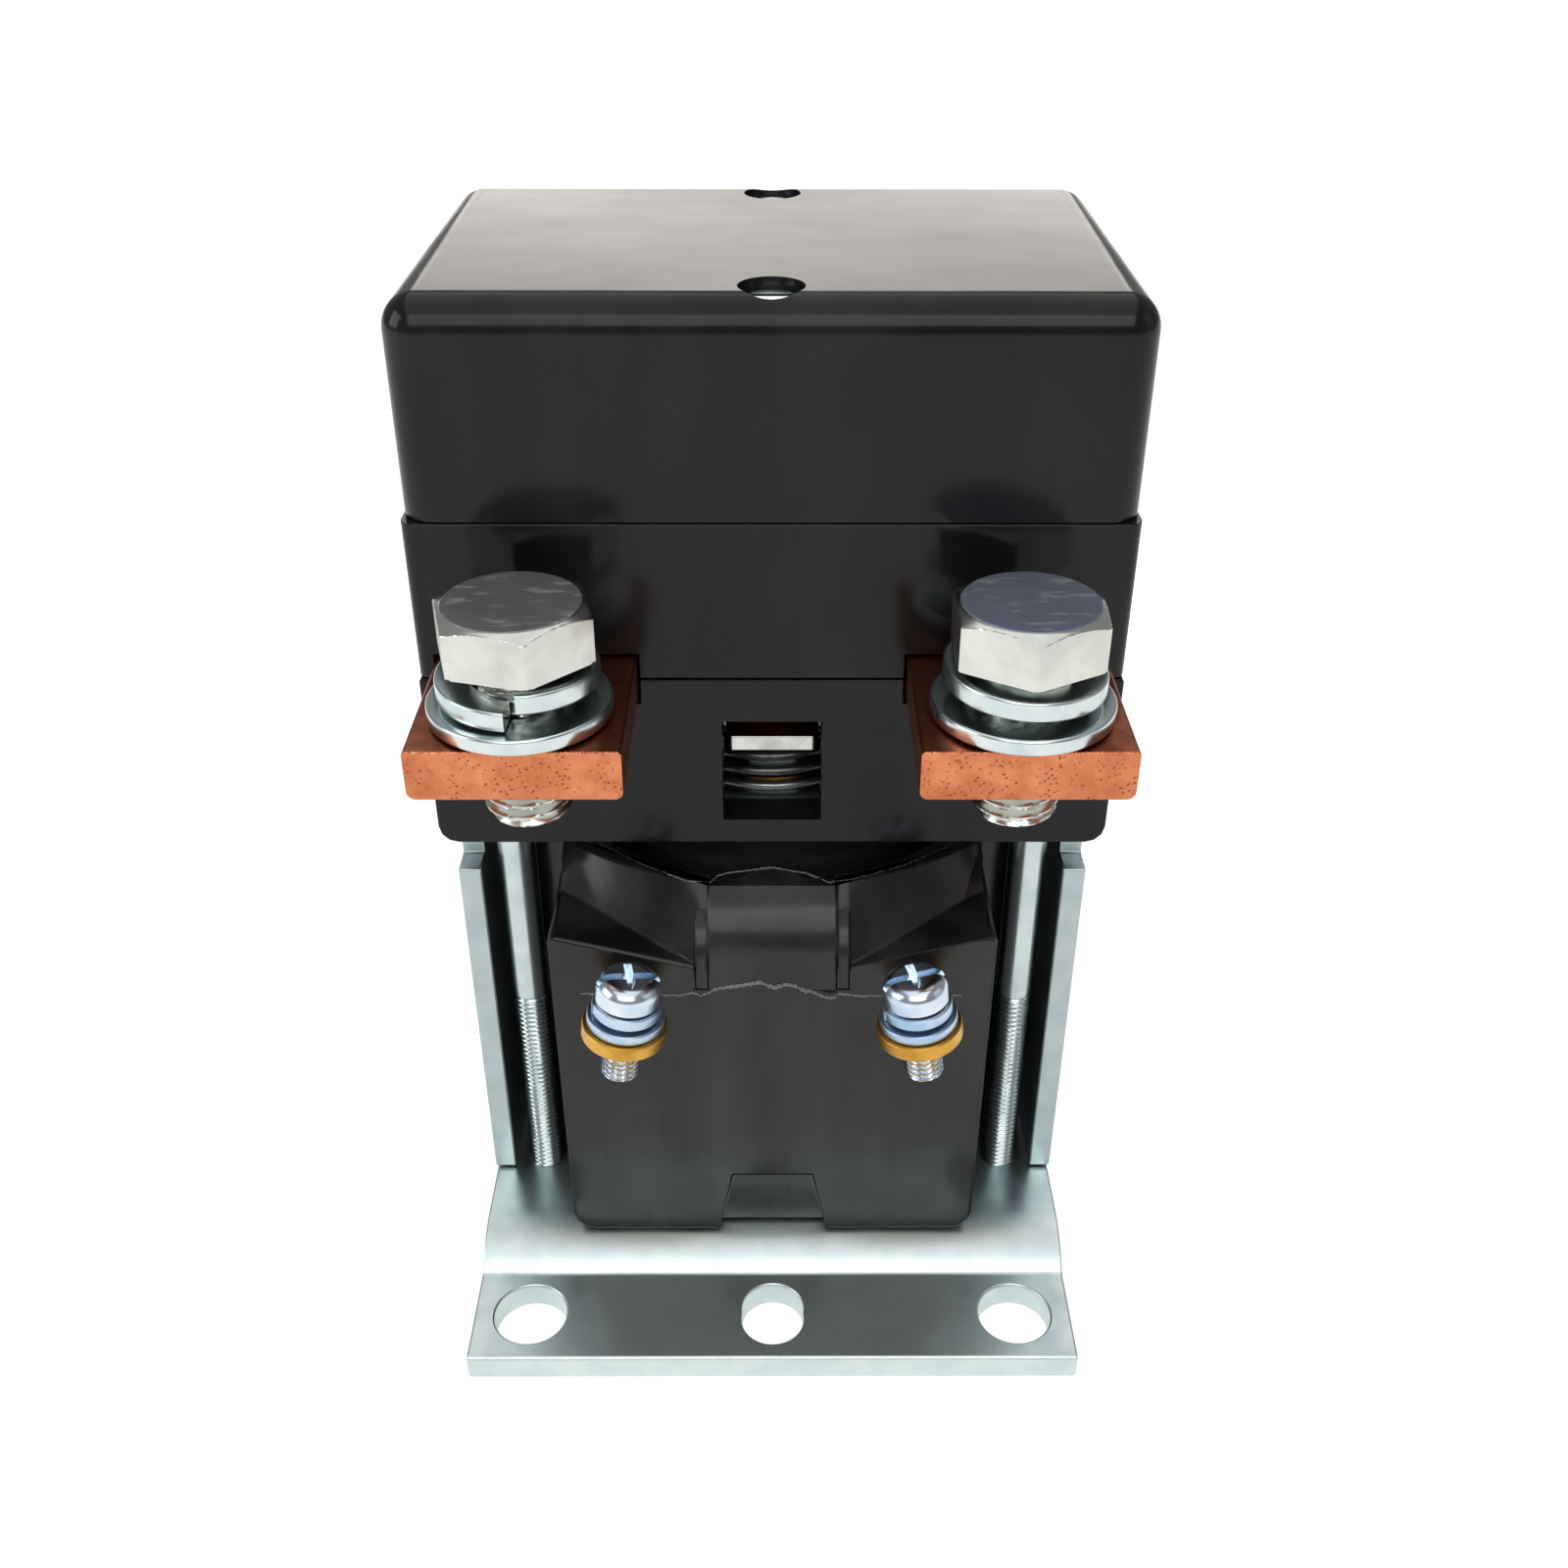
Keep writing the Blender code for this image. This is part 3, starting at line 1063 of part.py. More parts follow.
def make_terminal_bolts():
    """On each bar a flat washer, a split spring washer and a hexagon bolt."""
    flat_z = BAR_TOP + GAP
    spring_z = flat_z + FLAT_WASHER_THICKNESS + GAP
    seat = spring_z + SPRING_WASHER_THICKNESS + SPRING_WASHER_RISE + GAP
    hole = BOLT_RADIUS + GAP
    end = seat - BOLT_LENGTH
    for name, side, split in (("left", -1, LEFT_SPLIT), ("right", 1, RIGHT_SPLIT)):
        at = (side * TERMINAL_X, TERMINAL_Y)
        top = flat_z + FLAT_WASHER_THICKNESS
        turned("flat_washer_" + name, [
            (FLAT_WASHER_RADIUS, top), (FLAT_WASHER_RADIUS, flat_z), (hole, flat_z), (hole, top)],
            at, FINE, "zinc_steel", closed=True)
        ring = split_ring(
            "spring_washer_" + name, SPRING_WASHER_RADIUS, SPRING_WASHER_WIDTH, SPRING_WASHER_THICKNESS,
            SPRING_WASHER_RISE, spring_z, split, "zinc_steel")
        ring.location = (at[0], at[1], 0.0)
        bolt = hexagon(
            "terminal_bolt_" + name, BOLT_HEAD_FLATS, seat, seat + BOLT_HEAD_HEIGHT, at, "zinc_steel")
        radius = BOLT_RADIUS
        chamfer = BOLT_END_CHAMFER
        inside = seat + BOLT_HEAD_HEIGHT / 2
        shank = turned("shank_" + name, [
            (0.0, inside), (radius, inside), (radius, end + chamfer),
            (radius - chamfer, end), (0.0, end)], at, ROUND)
        join(bolt, shank)


# Plunger, contact bridge and springs

def make_core():
    """The fixed core, its screw from below and the brass tube round the plunger."""
    turned("fixed_core", [
        (0.0, CORE_TOP), (PLUNGER_RADIUS - PLUNGER_CHAMFER, CORE_TOP),
        (PLUNGER_RADIUS, CORE_TOP - PLUNGER_CHAMFER),
        (PLUNGER_RADIUS, FRAME_FOOT), (0.0, FRAME_FOOT)], steps=ROUND, kind="bright_steel")
    reach = CORE_SCREW_LENGTH + BRACKET_STEP - GAP
    core = bpy.data.objects["fixed_core"]
    cut(core, cylinder("core_tap", CORE_SCREW_RADIUS + GAP, 0.0, reach + GAP, steps=SMALL))
    head_top = BRACKET_STEP - GAP
    head = CORE_SCREW_HEAD_RADIUS
    head_low = head_top - CORE_SCREW_HEAD_HEIGHT
    radius = CORE_SCREW_RADIUS
    chamfer = CORE_SCREW_CHAMFER
    screw = turned("core_screw", [
        (0.0, reach), (radius, reach), (radius, head_top), (head, head_top),
        (head, head_low + chamfer), (head - chamfer, head_low), (0.0, head_low)],
        steps=SMALL, kind="zinc_steel")
    socket_top = head_low + CORE_SOCKET_DEPTH
    cut(screw, cylinder("core_socket", head * SOCKET_SHARE, head_low - GAP, socket_top, steps=6))
    outer = TUBE_RADIUS + TUBE_WALL
    turned("guide_tube", [
        (outer, POLE_TOP), (outer, FRAME_FOOT), (TUBE_RADIUS, FRAME_FOOT), (TUBE_RADIUS, POLE_TOP)],
        steps=ROUND, kind="brass", closed=True)


def make_plunger(axis):
    """The plunger, the shaft, the spring seat and the anti-turn strap."""
    radius = PLUNGER_RADIUS
    chamfer = PLUNGER_CHAMFER
    bore = SHAFT_RADIUS + GAP
    plunger = turned("plunger", [
        (bore, PLUNGER_TOP), (radius - chamfer, PLUNGER_TOP), (radius, PLUNGER_TOP - chamfer),
        (radius, PLUNGER_Z + chamfer), (radius - chamfer, PLUNGER_Z), (bore, PLUNGER_Z)],
        steps=ROUND, kind="bright_steel", closed=True)
    shaft_low = PLUNGER_Z + SHAFT_SETBACK
    shaft = turned("shaft", [
        (0.0, SHAFT_TOP), (SHAFT_RADIUS - SCREW_CHAMFER, SHAFT_TOP),
        (SHAFT_RADIUS, SHAFT_TOP - SCREW_CHAMFER),
        (SHAFT_RADIUS, shaft_low), (0.0, shaft_low)], steps=SMALL, kind="bright_steel")
    washer_top = SEAT_WASHER_Z + SEAT_WASHER_THICKNESS
    washer = turned("spring_seat", [
        (SEAT_WASHER_RADIUS, washer_top), (SEAT_WASHER_RADIUS, SEAT_WASHER_Z),
        (bore, SEAT_WASHER_Z), (bore, washer_top)], steps=ROUND, kind="bright_steel", closed=True)
    half = STRAP_LENGTH / 2
    outline = rectangle(STRAP_WIDTH / 2, -half, half, STRAP_END_RADIUS)
    strap = extruded(
        "guide_strap", [outline, circle(bore, steps=SMALL)], STRAP_Z, STRAP_Z + STRAP_THICKNESS,
        "Z", "bright_steel")
    for thing in (plunger, shaft, washer, strap):
        thing.parent = axis


def make_carrier(axis):
    """The insulating carrier, the top washer and the nut."""
    bore = SHAFT_RADIUS + GAP
    sleeve_top = TOP_WASHER_Z - GAP
    shoulder = BRIDGE_Z - GAP
    carrier = turned("carrier", [
        (bore, sleeve_top), (SLEEVE_RADIUS, sleeve_top), (SLEEVE_RADIUS, shoulder),
        (CARRIER_BODY_RADIUS, shoulder), (CARRIER_BODY_RADIUS, CARRIER_Z + CARRIER_FLANGE_HEIGHT),
        (CARRIER_FLANGE_RADIUS, CARRIER_Z + CARRIER_FLANGE_HEIGHT), (CARRIER_FLANGE_RADIUS, CARRIER_Z),
        (bore, CARRIER_Z)], steps=ROUND, kind="carrier", closed=True)
    top = TOP_WASHER_Z + TOP_WASHER_THICKNESS
    washer = turned("top_washer", [
        (TOP_WASHER_RADIUS, top), (TOP_WASHER_RADIUS, TOP_WASHER_Z), (bore, TOP_WASHER_Z), (bore, top)],
        steps=ROUND, kind="carrier", closed=True)
    nut = hexagon("shaft_nut", NUT_FLATS, NUT_Z, NUT_Z + NUT_HEIGHT, (0.0, 0.0), "zinc_steel")
    cut(nut, cylinder("nut_bore", bore, NUT_Z - 2 * GAP, NUT_Z + NUT_HEIGHT + GAP, steps=SMALL))
    for thing in (carrier, washer, nut):
        thing.parent = axis


def make_bridge(axis):
    """The copper bridge with its two silver tips."""
    half = BRIDGE_LENGTH / 2
    side = BRIDGE_WIDTH / 2
    bridge = block("contact_bridge", (-half, half), (-side, side), (BRIDGE_Z, BRIDGE_TOP), "copper")
    bevel(bridge, BRIDGE_EDGE, 2)
    cut(bridge, cylinder("bridge_bore", BRIDGE_BORE_RADIUS, BRIDGE_Z - GAP, BRIDGE_TOP + GAP))
    bridge.parent = axis
    tip = TIP_SIZE / 2
    high = BRIDGE_Z - GAP
    for name, x in (("moving_tip_left", -TIP_SPACING / 2), ("moving_tip_right", TIP_SPACING / 2)):
        face = block(name, (x - tip, x + tip), (-tip, tip), (high - MOVING_TIP_HEIGHT, high), "silver")
        bevel(face, TIP_EDGE, 2)
        face.parent = axis


def joint_axis(name):
    """An empty on the middle line, along which the moving pieces slide."""
    axis = bpy.data.objects.new(name, None)
    PART.objects.link(axis)
    return axis


def main():
    """Builds every piece."""
    make_bracket()
    make_frame()
    make_frame_screws()
    make_coil()
    make_winding()
    make_coil_terminals()
    make_cap()
    make_mid_body()
    make_lower_body()
    make_cap_screws()
    make_bars()
    make_terminal_bolts()
    make_core()
    plunger_axis = joint_axis("armature_axis")
    make_plunger(plunger_axis)
    make_carrier(plunger_axis)
    bridge_axis = joint_axis("bridge_axis")
    bridge_axis.parent = plunger_axis
    make_bridge(bridge_axis)
    wire_spring(
        "return_spring", (RETURN_SPRING_FOOT_RADIUS, RETURN_SPRING_HEAD_RADIUS), POLE_TOP + GAP,
        SEAT_WASHER_Z - GAP, RETURN_SPRING_WIRE, RETURN_SPRING_TURNS, "spring_steel")
    wire_spring(
        "contact_spring", (CONTACT_SPRING_RADIUS, CONTACT_SPRING_RADIUS), BRIDGE_TOP + GAP,
        TOP_WASHER_Z - GAP, CONTACT_SPRING_WIRE, CONTACT_SPRING_TURNS, "spring_steel")


main()
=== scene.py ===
# %% [markdown]
# # A panel contactor for heavy direct current
#
# A contactor is a switch that a magnet closes. This one stands on a joggled steel bracket. A moulded
# coil sits in a steel frame, and black mouldings above it hold two copper bars with large bolts.
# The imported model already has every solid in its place, in metres, with Z up.
# This lesson gives those solids the surfaces that the eye expects: rolled threads, round edges,
# split washers, and finishes for moulded plastic, plated steel, copper and brass.

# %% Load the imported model
import json
import math

import bmesh
import bpy
import numpy as np
from mathutils import Matrix, Vector


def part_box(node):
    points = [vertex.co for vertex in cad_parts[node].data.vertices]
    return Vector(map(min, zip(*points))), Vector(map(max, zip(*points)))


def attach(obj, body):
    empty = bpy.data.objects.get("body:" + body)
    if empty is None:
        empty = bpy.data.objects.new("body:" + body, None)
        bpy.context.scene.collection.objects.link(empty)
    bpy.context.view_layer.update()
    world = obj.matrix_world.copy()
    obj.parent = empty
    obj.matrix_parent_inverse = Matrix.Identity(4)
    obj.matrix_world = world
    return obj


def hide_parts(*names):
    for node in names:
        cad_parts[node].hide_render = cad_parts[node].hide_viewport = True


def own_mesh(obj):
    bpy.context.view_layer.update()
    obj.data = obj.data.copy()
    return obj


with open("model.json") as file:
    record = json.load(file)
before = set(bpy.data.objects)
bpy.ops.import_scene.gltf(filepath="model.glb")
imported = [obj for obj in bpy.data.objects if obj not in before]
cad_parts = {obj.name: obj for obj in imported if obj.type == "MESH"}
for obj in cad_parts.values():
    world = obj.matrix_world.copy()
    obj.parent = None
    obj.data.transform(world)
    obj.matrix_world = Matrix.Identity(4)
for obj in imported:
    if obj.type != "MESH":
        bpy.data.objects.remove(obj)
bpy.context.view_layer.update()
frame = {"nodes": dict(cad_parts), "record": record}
nodes = frame["nodes"]
MM = 0.001

# %% [markdown]
# ## Colours and shader nodes
#
# Colours are written as they look on a screen, in sRGB hex, and a shader wants them linear, so one
# function turns them. A second function adds a shader node with its settings, values and links in
# one line, so that a material reads like a recipe. Every pattern reads Object coordinates, which are
# metres here, so a noise that should change every two millimetres has a scale of 1000 / 2.

# %% Colour and node helpers
def linear(hex_colour):
    """Linear red, green and blue: below 0.04045 divide by 12.92, above it take the 2.4 power curve."""
    share = np.array([int(hex_colour[i:i + 2], 16) for i in (1, 3, 5)]) / 255
    curve = np.where(share <= 0.04045, share / 12.92, ((share + 0.055) / 1.055) ** 2.4)
    return (*curve.tolist(), 1.0)


def put(tree, kind, wires=None, values=None, **settings):
    """Adds a shader node. values fills its inputs, and wires links other nodes' outputs to them."""
    node = tree.nodes.new("ShaderNode" + kind)
    for key, value in settings.items():
        setattr(node, key, value)
    for key, value in (values or {}).items():
        node.inputs[key].default_value = value
    for key, socket in (wires or {}).items():
        tree.links.new(socket, node.inputs[key])
    return node


def per_mm(size):
    """The scale that makes a pattern's feature this many millimetres wide."""
    return 1000 / size


def start_material(name, colour, roughness, metallic=0.0):
    """A material with a Principled shader, and the Object coordinates that its patterns read."""
    material = bpy.data.materials.new(name)
    material.use_nodes = True
    tree = material.node_tree
    shader = tree.nodes["Principled BSDF"]
    shader.inputs["Base Color"].default_value = linear(colour)
    shader.inputs["Roughness"].default_value = roughness
    shader.inputs["Metallic"].default_value = metallic
    return material, tree, shader, put(tree, "TexCoord").outputs["Object"]


def blend_colours(tree, factor, first, second):
    """A colour that goes from the first to the second as the factor goes from 0 to 1."""
    wires = {0: factor}
    values = {}
    for place, colour in ((6, first), (7, second)):
        if isinstance(colour, str):
            values[place] = linear(colour)
        else:
            wires[place] = colour
    return put(tree, "Mix", wires, values, data_type="RGBA").outputs[2]


def spread(tree, value, low, high, to_low=0.0, to_high=1.0):
    """Stretches the part of a pattern between low and high over a new range, and clamps it."""
    limits = {"From Min": low, "From Max": high, "To Min": to_low, "To Max": to_high}
    return put(tree, "MapRange", {"Value": value}, limits).outputs["Result"]


def relief(tree, shader, *layers):
    """Bump from (height pattern, depth in millimetres) layers, one on top of the other."""
    normal = None
    for height, depth in layers:
        wires = {"Height": height}
        if normal:
            wires["Normal"] = normal
        normal = put(tree, "Bump", wires, {"Distance": depth * MM}).outputs["Normal"]
    tree.links.new(normal, shader.inputs["Normal"])

# %% [markdown]
# ## Moulded phenolic
#
# The housing is compression-moulded phenolic: black, hard and glossy, made in a polished steel tool.
# Its gloss is never quite even. Handling leaves broad smudges, so roughness drifts over centimetres.
# The wall sinks a little as it cures, so a reflection wavers. Fine pale dust and hairline scuffs sit on top.
# The coil is cast over its winding in a slightly duller compound, with stronger pale upright bands, which
# are partly marks where the compound ran and partly painted reflection.

# %% Black mouldings
def make_moulding(name, colour, haze, roughness, ripple, gloss, flow_and_reflection_bands=0.0):
    """Gloss with smudges of 14 mm, dust of 0.35 mm, a few hairlines, and a surface that wavers by the ripple
    in millimetres. flow_and_reflection_bands is the strength of pale upright bands, which are partly marks
    where the compound ran and partly painted reflection."""
    material, tree, shader, place = start_material(name, colour, roughness)
    shader.inputs["Specular IOR Level"].default_value = gloss
    smudge = put(tree, "TexNoise", {"Vector": place}, {
        "Scale": per_mm(14), "Detail": 5.0, "Roughness": 0.6})
    dust = put(tree, "TexNoise", {"Vector": place}, {"Scale": per_mm(0.35), "Detail": 2.0})
    long_way = put(tree, "Mapping", {"Vector": place}, {
        "Rotation": (0.5, 0.35, 0.6), "Scale": (1.0, 14.0, 14.0)})
    scuff = put(tree, "TexNoise", {"Vector": long_way.outputs[0]}, {"Scale": per_mm(9), "Detail": 6.0})
    dusty = spread(tree, dust.outputs["Fac"], 0.66, 0.80, 0.05, 0.27)
    patchy = spread(tree, smudge.outputs["Fac"], 0.45, 0.72)
    veil = put(tree, "Math", {0: dusty, 1: patchy}, operation="MULTIPLY").outputs[0]
    hairline = spread(tree, scuff.outputs["Fac"], 0.68, 0.78, 0.0, 0.14)
    scuffed = put(tree, "Math", {0: hairline, 1: patchy}, operation="MULTIPLY").outputs[0]
    marks = put(tree, "Math", {0: veil, 1: scuffed}, operation="MAXIMUM").outputs[0]
    # Pale upright bands: partly marks where the compound ran, and partly painted reflection that stands in
    # for an uneven mirror image.
    upright = put(tree, "Mapping", {"Vector": place}, {"Scale": (1.0, 1.0, 0.22)})
    band_noise = put(tree, "TexNoise", {"Vector": upright.outputs[0]}, {"Scale": per_mm(9), "Detail": 3.0})
    flow_and_reflection_share = spread(tree, band_noise.outputs["Fac"], 0.40, 0.66, 0.0, flow_and_reflection_bands)
    marks = put(tree, "Math", {0: marks, 1: flow_and_reflection_share}, operation="ADD").outputs[0]
    tree.links.new(blend_colours(tree, marks, colour, haze), shader.inputs["Base Color"])
    drift = spread(tree, smudge.outputs["Fac"], 0.35, 0.75, roughness - 0.04, roughness + 0.05)
    worn = put(tree, "Math", {0: scuffed, 1: drift}, operation="ADD").outputs[0]
    tree.links.new(worn, shader.inputs["Roughness"])
    sink = put(tree, "TexNoise", {"Vector": place}, {"Scale": per_mm(11), "Detail": 1.0})
    skin = put(tree, "TexNoise", {"Vector": place}, {"Scale": per_mm(0.8), "Detail": 3.0})
    relief(tree, shader, (sink.outputs["Fac"], ripple), (skin.outputs["Fac"], 0.004))
    return material


# Compression-moulded housing: near black and glossy, so it mirrors the floor a little unevenly.
phenolic = make_moulding("moulded_phenolic", "#101011", "#57565a", 0.17, 0.10, 0.25, 0.05)
# Compound cast round the coil: rougher and greyer than the housing, with stronger pale upright bands that
# are partly marks where the compound ran and partly painted reflection.
coil_compound = make_moulding("cast_coil_compound", "#141415", "#5d5d5f", 0.22, 0.30, 0.40, 0.16)
# Torn compound: a broken edge is paler than the black moulded skin, and its pale colour is partly a painted
# glint.
torn_edge_and_glint = make_moulding("broken_compound_edge_and_glint", "#5e5e60", "#c4c4c6", 0.22, 0.30, 0.80)
print("mouldings:", phenolic.name, coil_compound.name, torn_edge_and_glint.name)

# %% [markdown]
# ## Zinc plate, copper and brass
#
# The steel is zinc plated and then passivated, which leaves a thin blue-white film: the metal is
# bright, slightly cloudy, and its colour drifts towards blue. Under the zinc the sheet keeps its
# rolling grain. The copper bars are sawn from flat stock, so the end is salmon with torn pits,
# while the rolled faces are browner and smoother. The tabs are stamped from brass strip.

# %% Metals
def make_zinc(name, colour, cloud, roughness, grain_mm, forged_above=None, skin_shade_colour="#7c7d80"):
    """Plated steel: cloudy colour and gloss over 5 mm, and a fine rolling grain.

    A forged head keeps the rough skin of the die on its top face, above a given height, and that face is
    painted darker in skin_shade_colour, as painted shade.
    """
    material, tree, shader, place = start_material(name, colour, roughness, 1.0)
    cloudy = put(tree, "TexNoise", {"Vector": place}, {
        "Scale": per_mm(5), "Detail": 4.0, "Roughness": 0.55})
    rolled = put(tree, "Mapping", {"Vector": place}, {"Scale": (0.12, 1.0, 1.0)})
    grain = put(tree, "TexNoise", {"Vector": rolled.outputs[0]}, {"Scale": per_mm(grain_mm), "Detail": 2.0})
    share = spread(tree, cloudy.outputs["Fac"], 0.36, 0.68)
    metal = blend_colours(tree, share, colour, cloud)
    dull = spread(tree, cloudy.outputs["Fac"], 0.3, 0.7, roughness - 0.03, roughness + 0.07)
    if forged_above is not None:
        axes = put(tree, "SeparateXYZ", {"Vector": place})
        skin = spread(tree, axes.outputs["Z"], forged_above - 0.04 * MM, forged_above + 0.02 * MM)
        turned = put(tree, "Mapping", {"Vector": place}, {
            "Rotation": (0.0, 0.0, 0.35), "Scale": (0.25, 1.0, 1.0)})
        rubbed = put(tree, "TexNoise", {"Vector": turned.outputs[0]}, {"Scale": per_mm(1.1), "Detail": 8.0})
        marks = spread(tree, rubbed.outputs["Fac"], 0.56, 0.66, 0.0, 0.55)
        # The die skin's colour is painted shade: it makes the top face darker than the turned sides.
        metal = blend_colours(tree, skin, metal, blend_colours(tree, marks, skin_shade_colour, "#c3c6c8"))
        rougher = put(tree, "Math", {0: skin}, {1: 0.20}, operation="MULTIPLY").outputs[0]
        dull = put(tree, "Math", {0: dull, 1: rougher}, operation="ADD").outputs[0]
        tree.links.new(spread(tree, skin, 0.0, 1.0, 1.0, 0.65), shader.inputs["Metallic"])
    tree.links.new(metal, shader.inputs["Base Color"])
    tree.links.new(dull, shader.inputs["Roughness"])
    relief(tree, shader, (grain.outputs["Fac"], 0.004))
    return material


def make_copper(name, sawn_y):
    """Copper bar: a sawn, pitted end in front of sawn_y, and browner rolled faces behind it."""
    material, tree, shader, place = start_material(name, "#c9764f", 0.34, 1.0)
    axes = put(tree, "SeparateXYZ", {"Vector": place})
    end = spread(tree, axes.outputs["Y"], sawn_y, sawn_y + 0.3 * MM, 1.0, 0.0)
    stain = put(tree, "TexNoise", {"Vector": place}, {"Scale": per_mm(4), "Detail": 7.0, "Roughness": 0.65})
    brown = spread(tree, stain.outputs["Fac"], 0.35, 0.70)
    rolled_colour = blend_colours(tree, brown, "#b4694a", "#7c4230")
    sawn_colour = blend_colours(tree, brown, "#dc8c64", "#bc6a44")
    metal = blend_colours(tree, end, rolled_colour, sawn_colour)
    pits = put(tree, "TexVoronoi", {"Vector": place}, {"Scale": per_mm(0.55)})
    torn = put(tree, "TexNoise", {"Vector": place}, {"Scale": per_mm(0.5), "Detail": 4.0})
    patch = put(tree, "TexNoise", {"Vector": place}, {"Scale": per_mm(2.4), "Detail": 3.0})
    few = spread(tree, patch.outputs["Fac"], 0.44, 0.56)
    hole = spread(tree, pits.outputs["Distance"], 0.10, 0.34, 1.0, 0.0)
    deep = put(tree, "Math", {0: hole, 1: few}, operation="MULTIPLY").outputs[0]
    dark = put(tree, "Math", {0: deep, 1: end}, operation="MULTIPLY").outputs[0]
    tree.links.new(blend_colours(tree, dark, metal, "#9a5436"), shader.inputs["Base Color"])
    tree.links.new(spread(tree, stain.outputs["Fac"], 0.3, 0.7, 0.28, 0.42), shader.inputs["Roughness"])
    saw = put(tree, "Mapping", {"Vector": place}, {"Scale": (0.15, 1.0, 1.0)})
    lines = put(tree, "TexNoise", {"Vector": saw.outputs[0]}, {"Scale": per_mm(0.35), "Detail": 3.0})
    sunk = put(tree, "Math", {0: dark}, {1: -1.0}, operation="MULTIPLY").outputs[0]
    relief(tree, shader, (lines.outputs["Fac"], 0.030), (torn.outputs["Fac"], 0.030), (sunk, 0.12))
    return material


def make_metal(name, colour, stain_colour, roughness):
    """A plain metal with a stain of 3 mm in its colour and gloss, and a grain of 0.4 mm as bump."""
    material, tree, shader, place = start_material(name, colour, roughness, 1.0)
    stain = put(tree, "TexNoise", {"Vector": place}, {"Scale": per_mm(3), "Detail": 6.0})
    grain = put(tree, "TexNoise", {"Vector": place}, {"Scale": per_mm(0.4), "Detail": 2.0})
    share = spread(tree, stain.outputs["Fac"], 0.4, 0.7)
    tree.links.new(blend_colours(tree, share, colour, stain_colour), shader.inputs["Base Color"])
    tree.links.new(spread(tree, stain.outputs["Fac"], 0.3, 0.7, roughness - 0.03, roughness + 0.07),
                   shader.inputs["Roughness"])
    relief(tree, shader, (grain.outputs["Fac"], 0.006))
    return material


# Zinc with a clear passivate: cold, bright and slightly cloudy. Each line differs in gloss and tint.
zinc = make_zinc("blue_white_zinc_plate", "#c9d5d5", "#b7c5c6", 0.20, 0.7)
# A darker copy of the zinc for the frame plates: the darkness is painted shade.
shaded_plate_zinc = make_zinc("sheared_zinc_plate_shaded", "#b5c1c2", "#aab7b8", 0.31, 0.5)
# A lighter copy of the zinc for the bracket: the extra brightness is painted light.
lit_sheet_zinc = make_zinc("rolled_zinc_plate_lit", "#d6e2e1", "#c9d8d8", 0.31, 0.7)
washer_zinc = make_zinc("stamped_zinc_plate", "#d8e0e0", "#bfd0d2", 0.20, 1.2)
# Forged heads: bright turned sides under a rough die skin, which mirrors almost nothing. The top face is
# painted darker as painted shade, grey on the left bolt and bluish on the right.
forged_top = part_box("terminal_bolt_left")[1].z - 0.12 * MM
bolt_zinc = make_zinc("forged_zinc_plate", "#d8d9d2", "#c6c8c2", 0.20, 1.6, forged_top)
bluish_shaded_bolt_zinc = make_zinc("forged_zinc_plate_bluish_shade", "#d8d9d2", "#c6c8c2", 0.20, 1.6, forged_top, "#7f8798")
# Blue passivate on the small screws and their washers: the bluest of the plated parts.
pan_zinc = make_zinc("pan_head_zinc_plate", "#e0e7ee", "#bdd2e6", 0.17, 1.0)
blue_zinc = make_zinc("blue_zinc_plate", "#c6d7e6", "#9dbfe0", 0.31, 1.2)
# Copper: a salmon sawn end with dark pits, and a paler torn edge whose pale colour is partly a painted
# highlight, on a browner rolled bar.
bar_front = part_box("terminal_bar_left")[0].y
copper = make_copper("sawn_copper", bar_front + 0.15 * MM)
burr_and_glint_copper = make_metal("torn_copper_edge_and_glint", "#f3b491", "#d98a62", 0.31)
bridge_copper = make_metal("rolled_copper", "#c87a55", "#9a5238", 0.32)
# Brass strip: a warm ochre, stained darker where it was handled. The drawn tube is greener.
brass = make_metal("stamped_brass", "#d8a64c", "#b98434", 0.31)
tube_brass = make_metal("drawn_brass", "#c9a050", "#a57a35", 0.31)
# Bare steel: warmer and less cloudy than zinc when turned, and dark grey when drawn to wire.
bright_steel = make_metal("turned_steel", "#d2d3cc", "#b4b5ae", 0.20)
spring_steel = make_metal("drawn_spring_wire", "#8d908f", "#6b6d6d", 0.31)
# Silver tips: white and soft, with a faint yellow tarnish.
silver = make_metal("contact_silver", "#dcdcd4", "#bdbcb2", 0.31)
print("the sawn ends of the bars stand at y =", round(bar_front, 5))

# %% [markdown]
# ## Insulators inside
#
# The moving contact rides on a red-brown phenolic carrier, the bobbin is black nylon, and the
# winding is enamelled copper wire wound in close rows. The wire is 0.5 mm thick, so the rows are a
# wave along Z with that pitch, drawn as bump.

# %% Carrier, bobbin and winding
def make_insulator(name, colour, fleck, roughness):
    """A dull moulded insulator with flecks of filler 0.6 mm wide."""
    material, tree, shader, place = start_material(name, colour, roughness)
    flecks = put(tree, "TexNoise", {"Vector": place}, {"Scale": per_mm(0.6), "Detail": 4.0})
    share = spread(tree, flecks.outputs["Fac"], 0.5, 0.75)
    tree.links.new(blend_colours(tree, share, colour, fleck), shader.inputs["Base Color"])
    tree.links.new(spread(tree, flecks.outputs["Fac"], 0.3, 0.7, roughness - 0.06, roughness + 0.08),
                   shader.inputs["Roughness"])
    relief(tree, shader, (flecks.outputs["Fac"], 0.01))
    return material


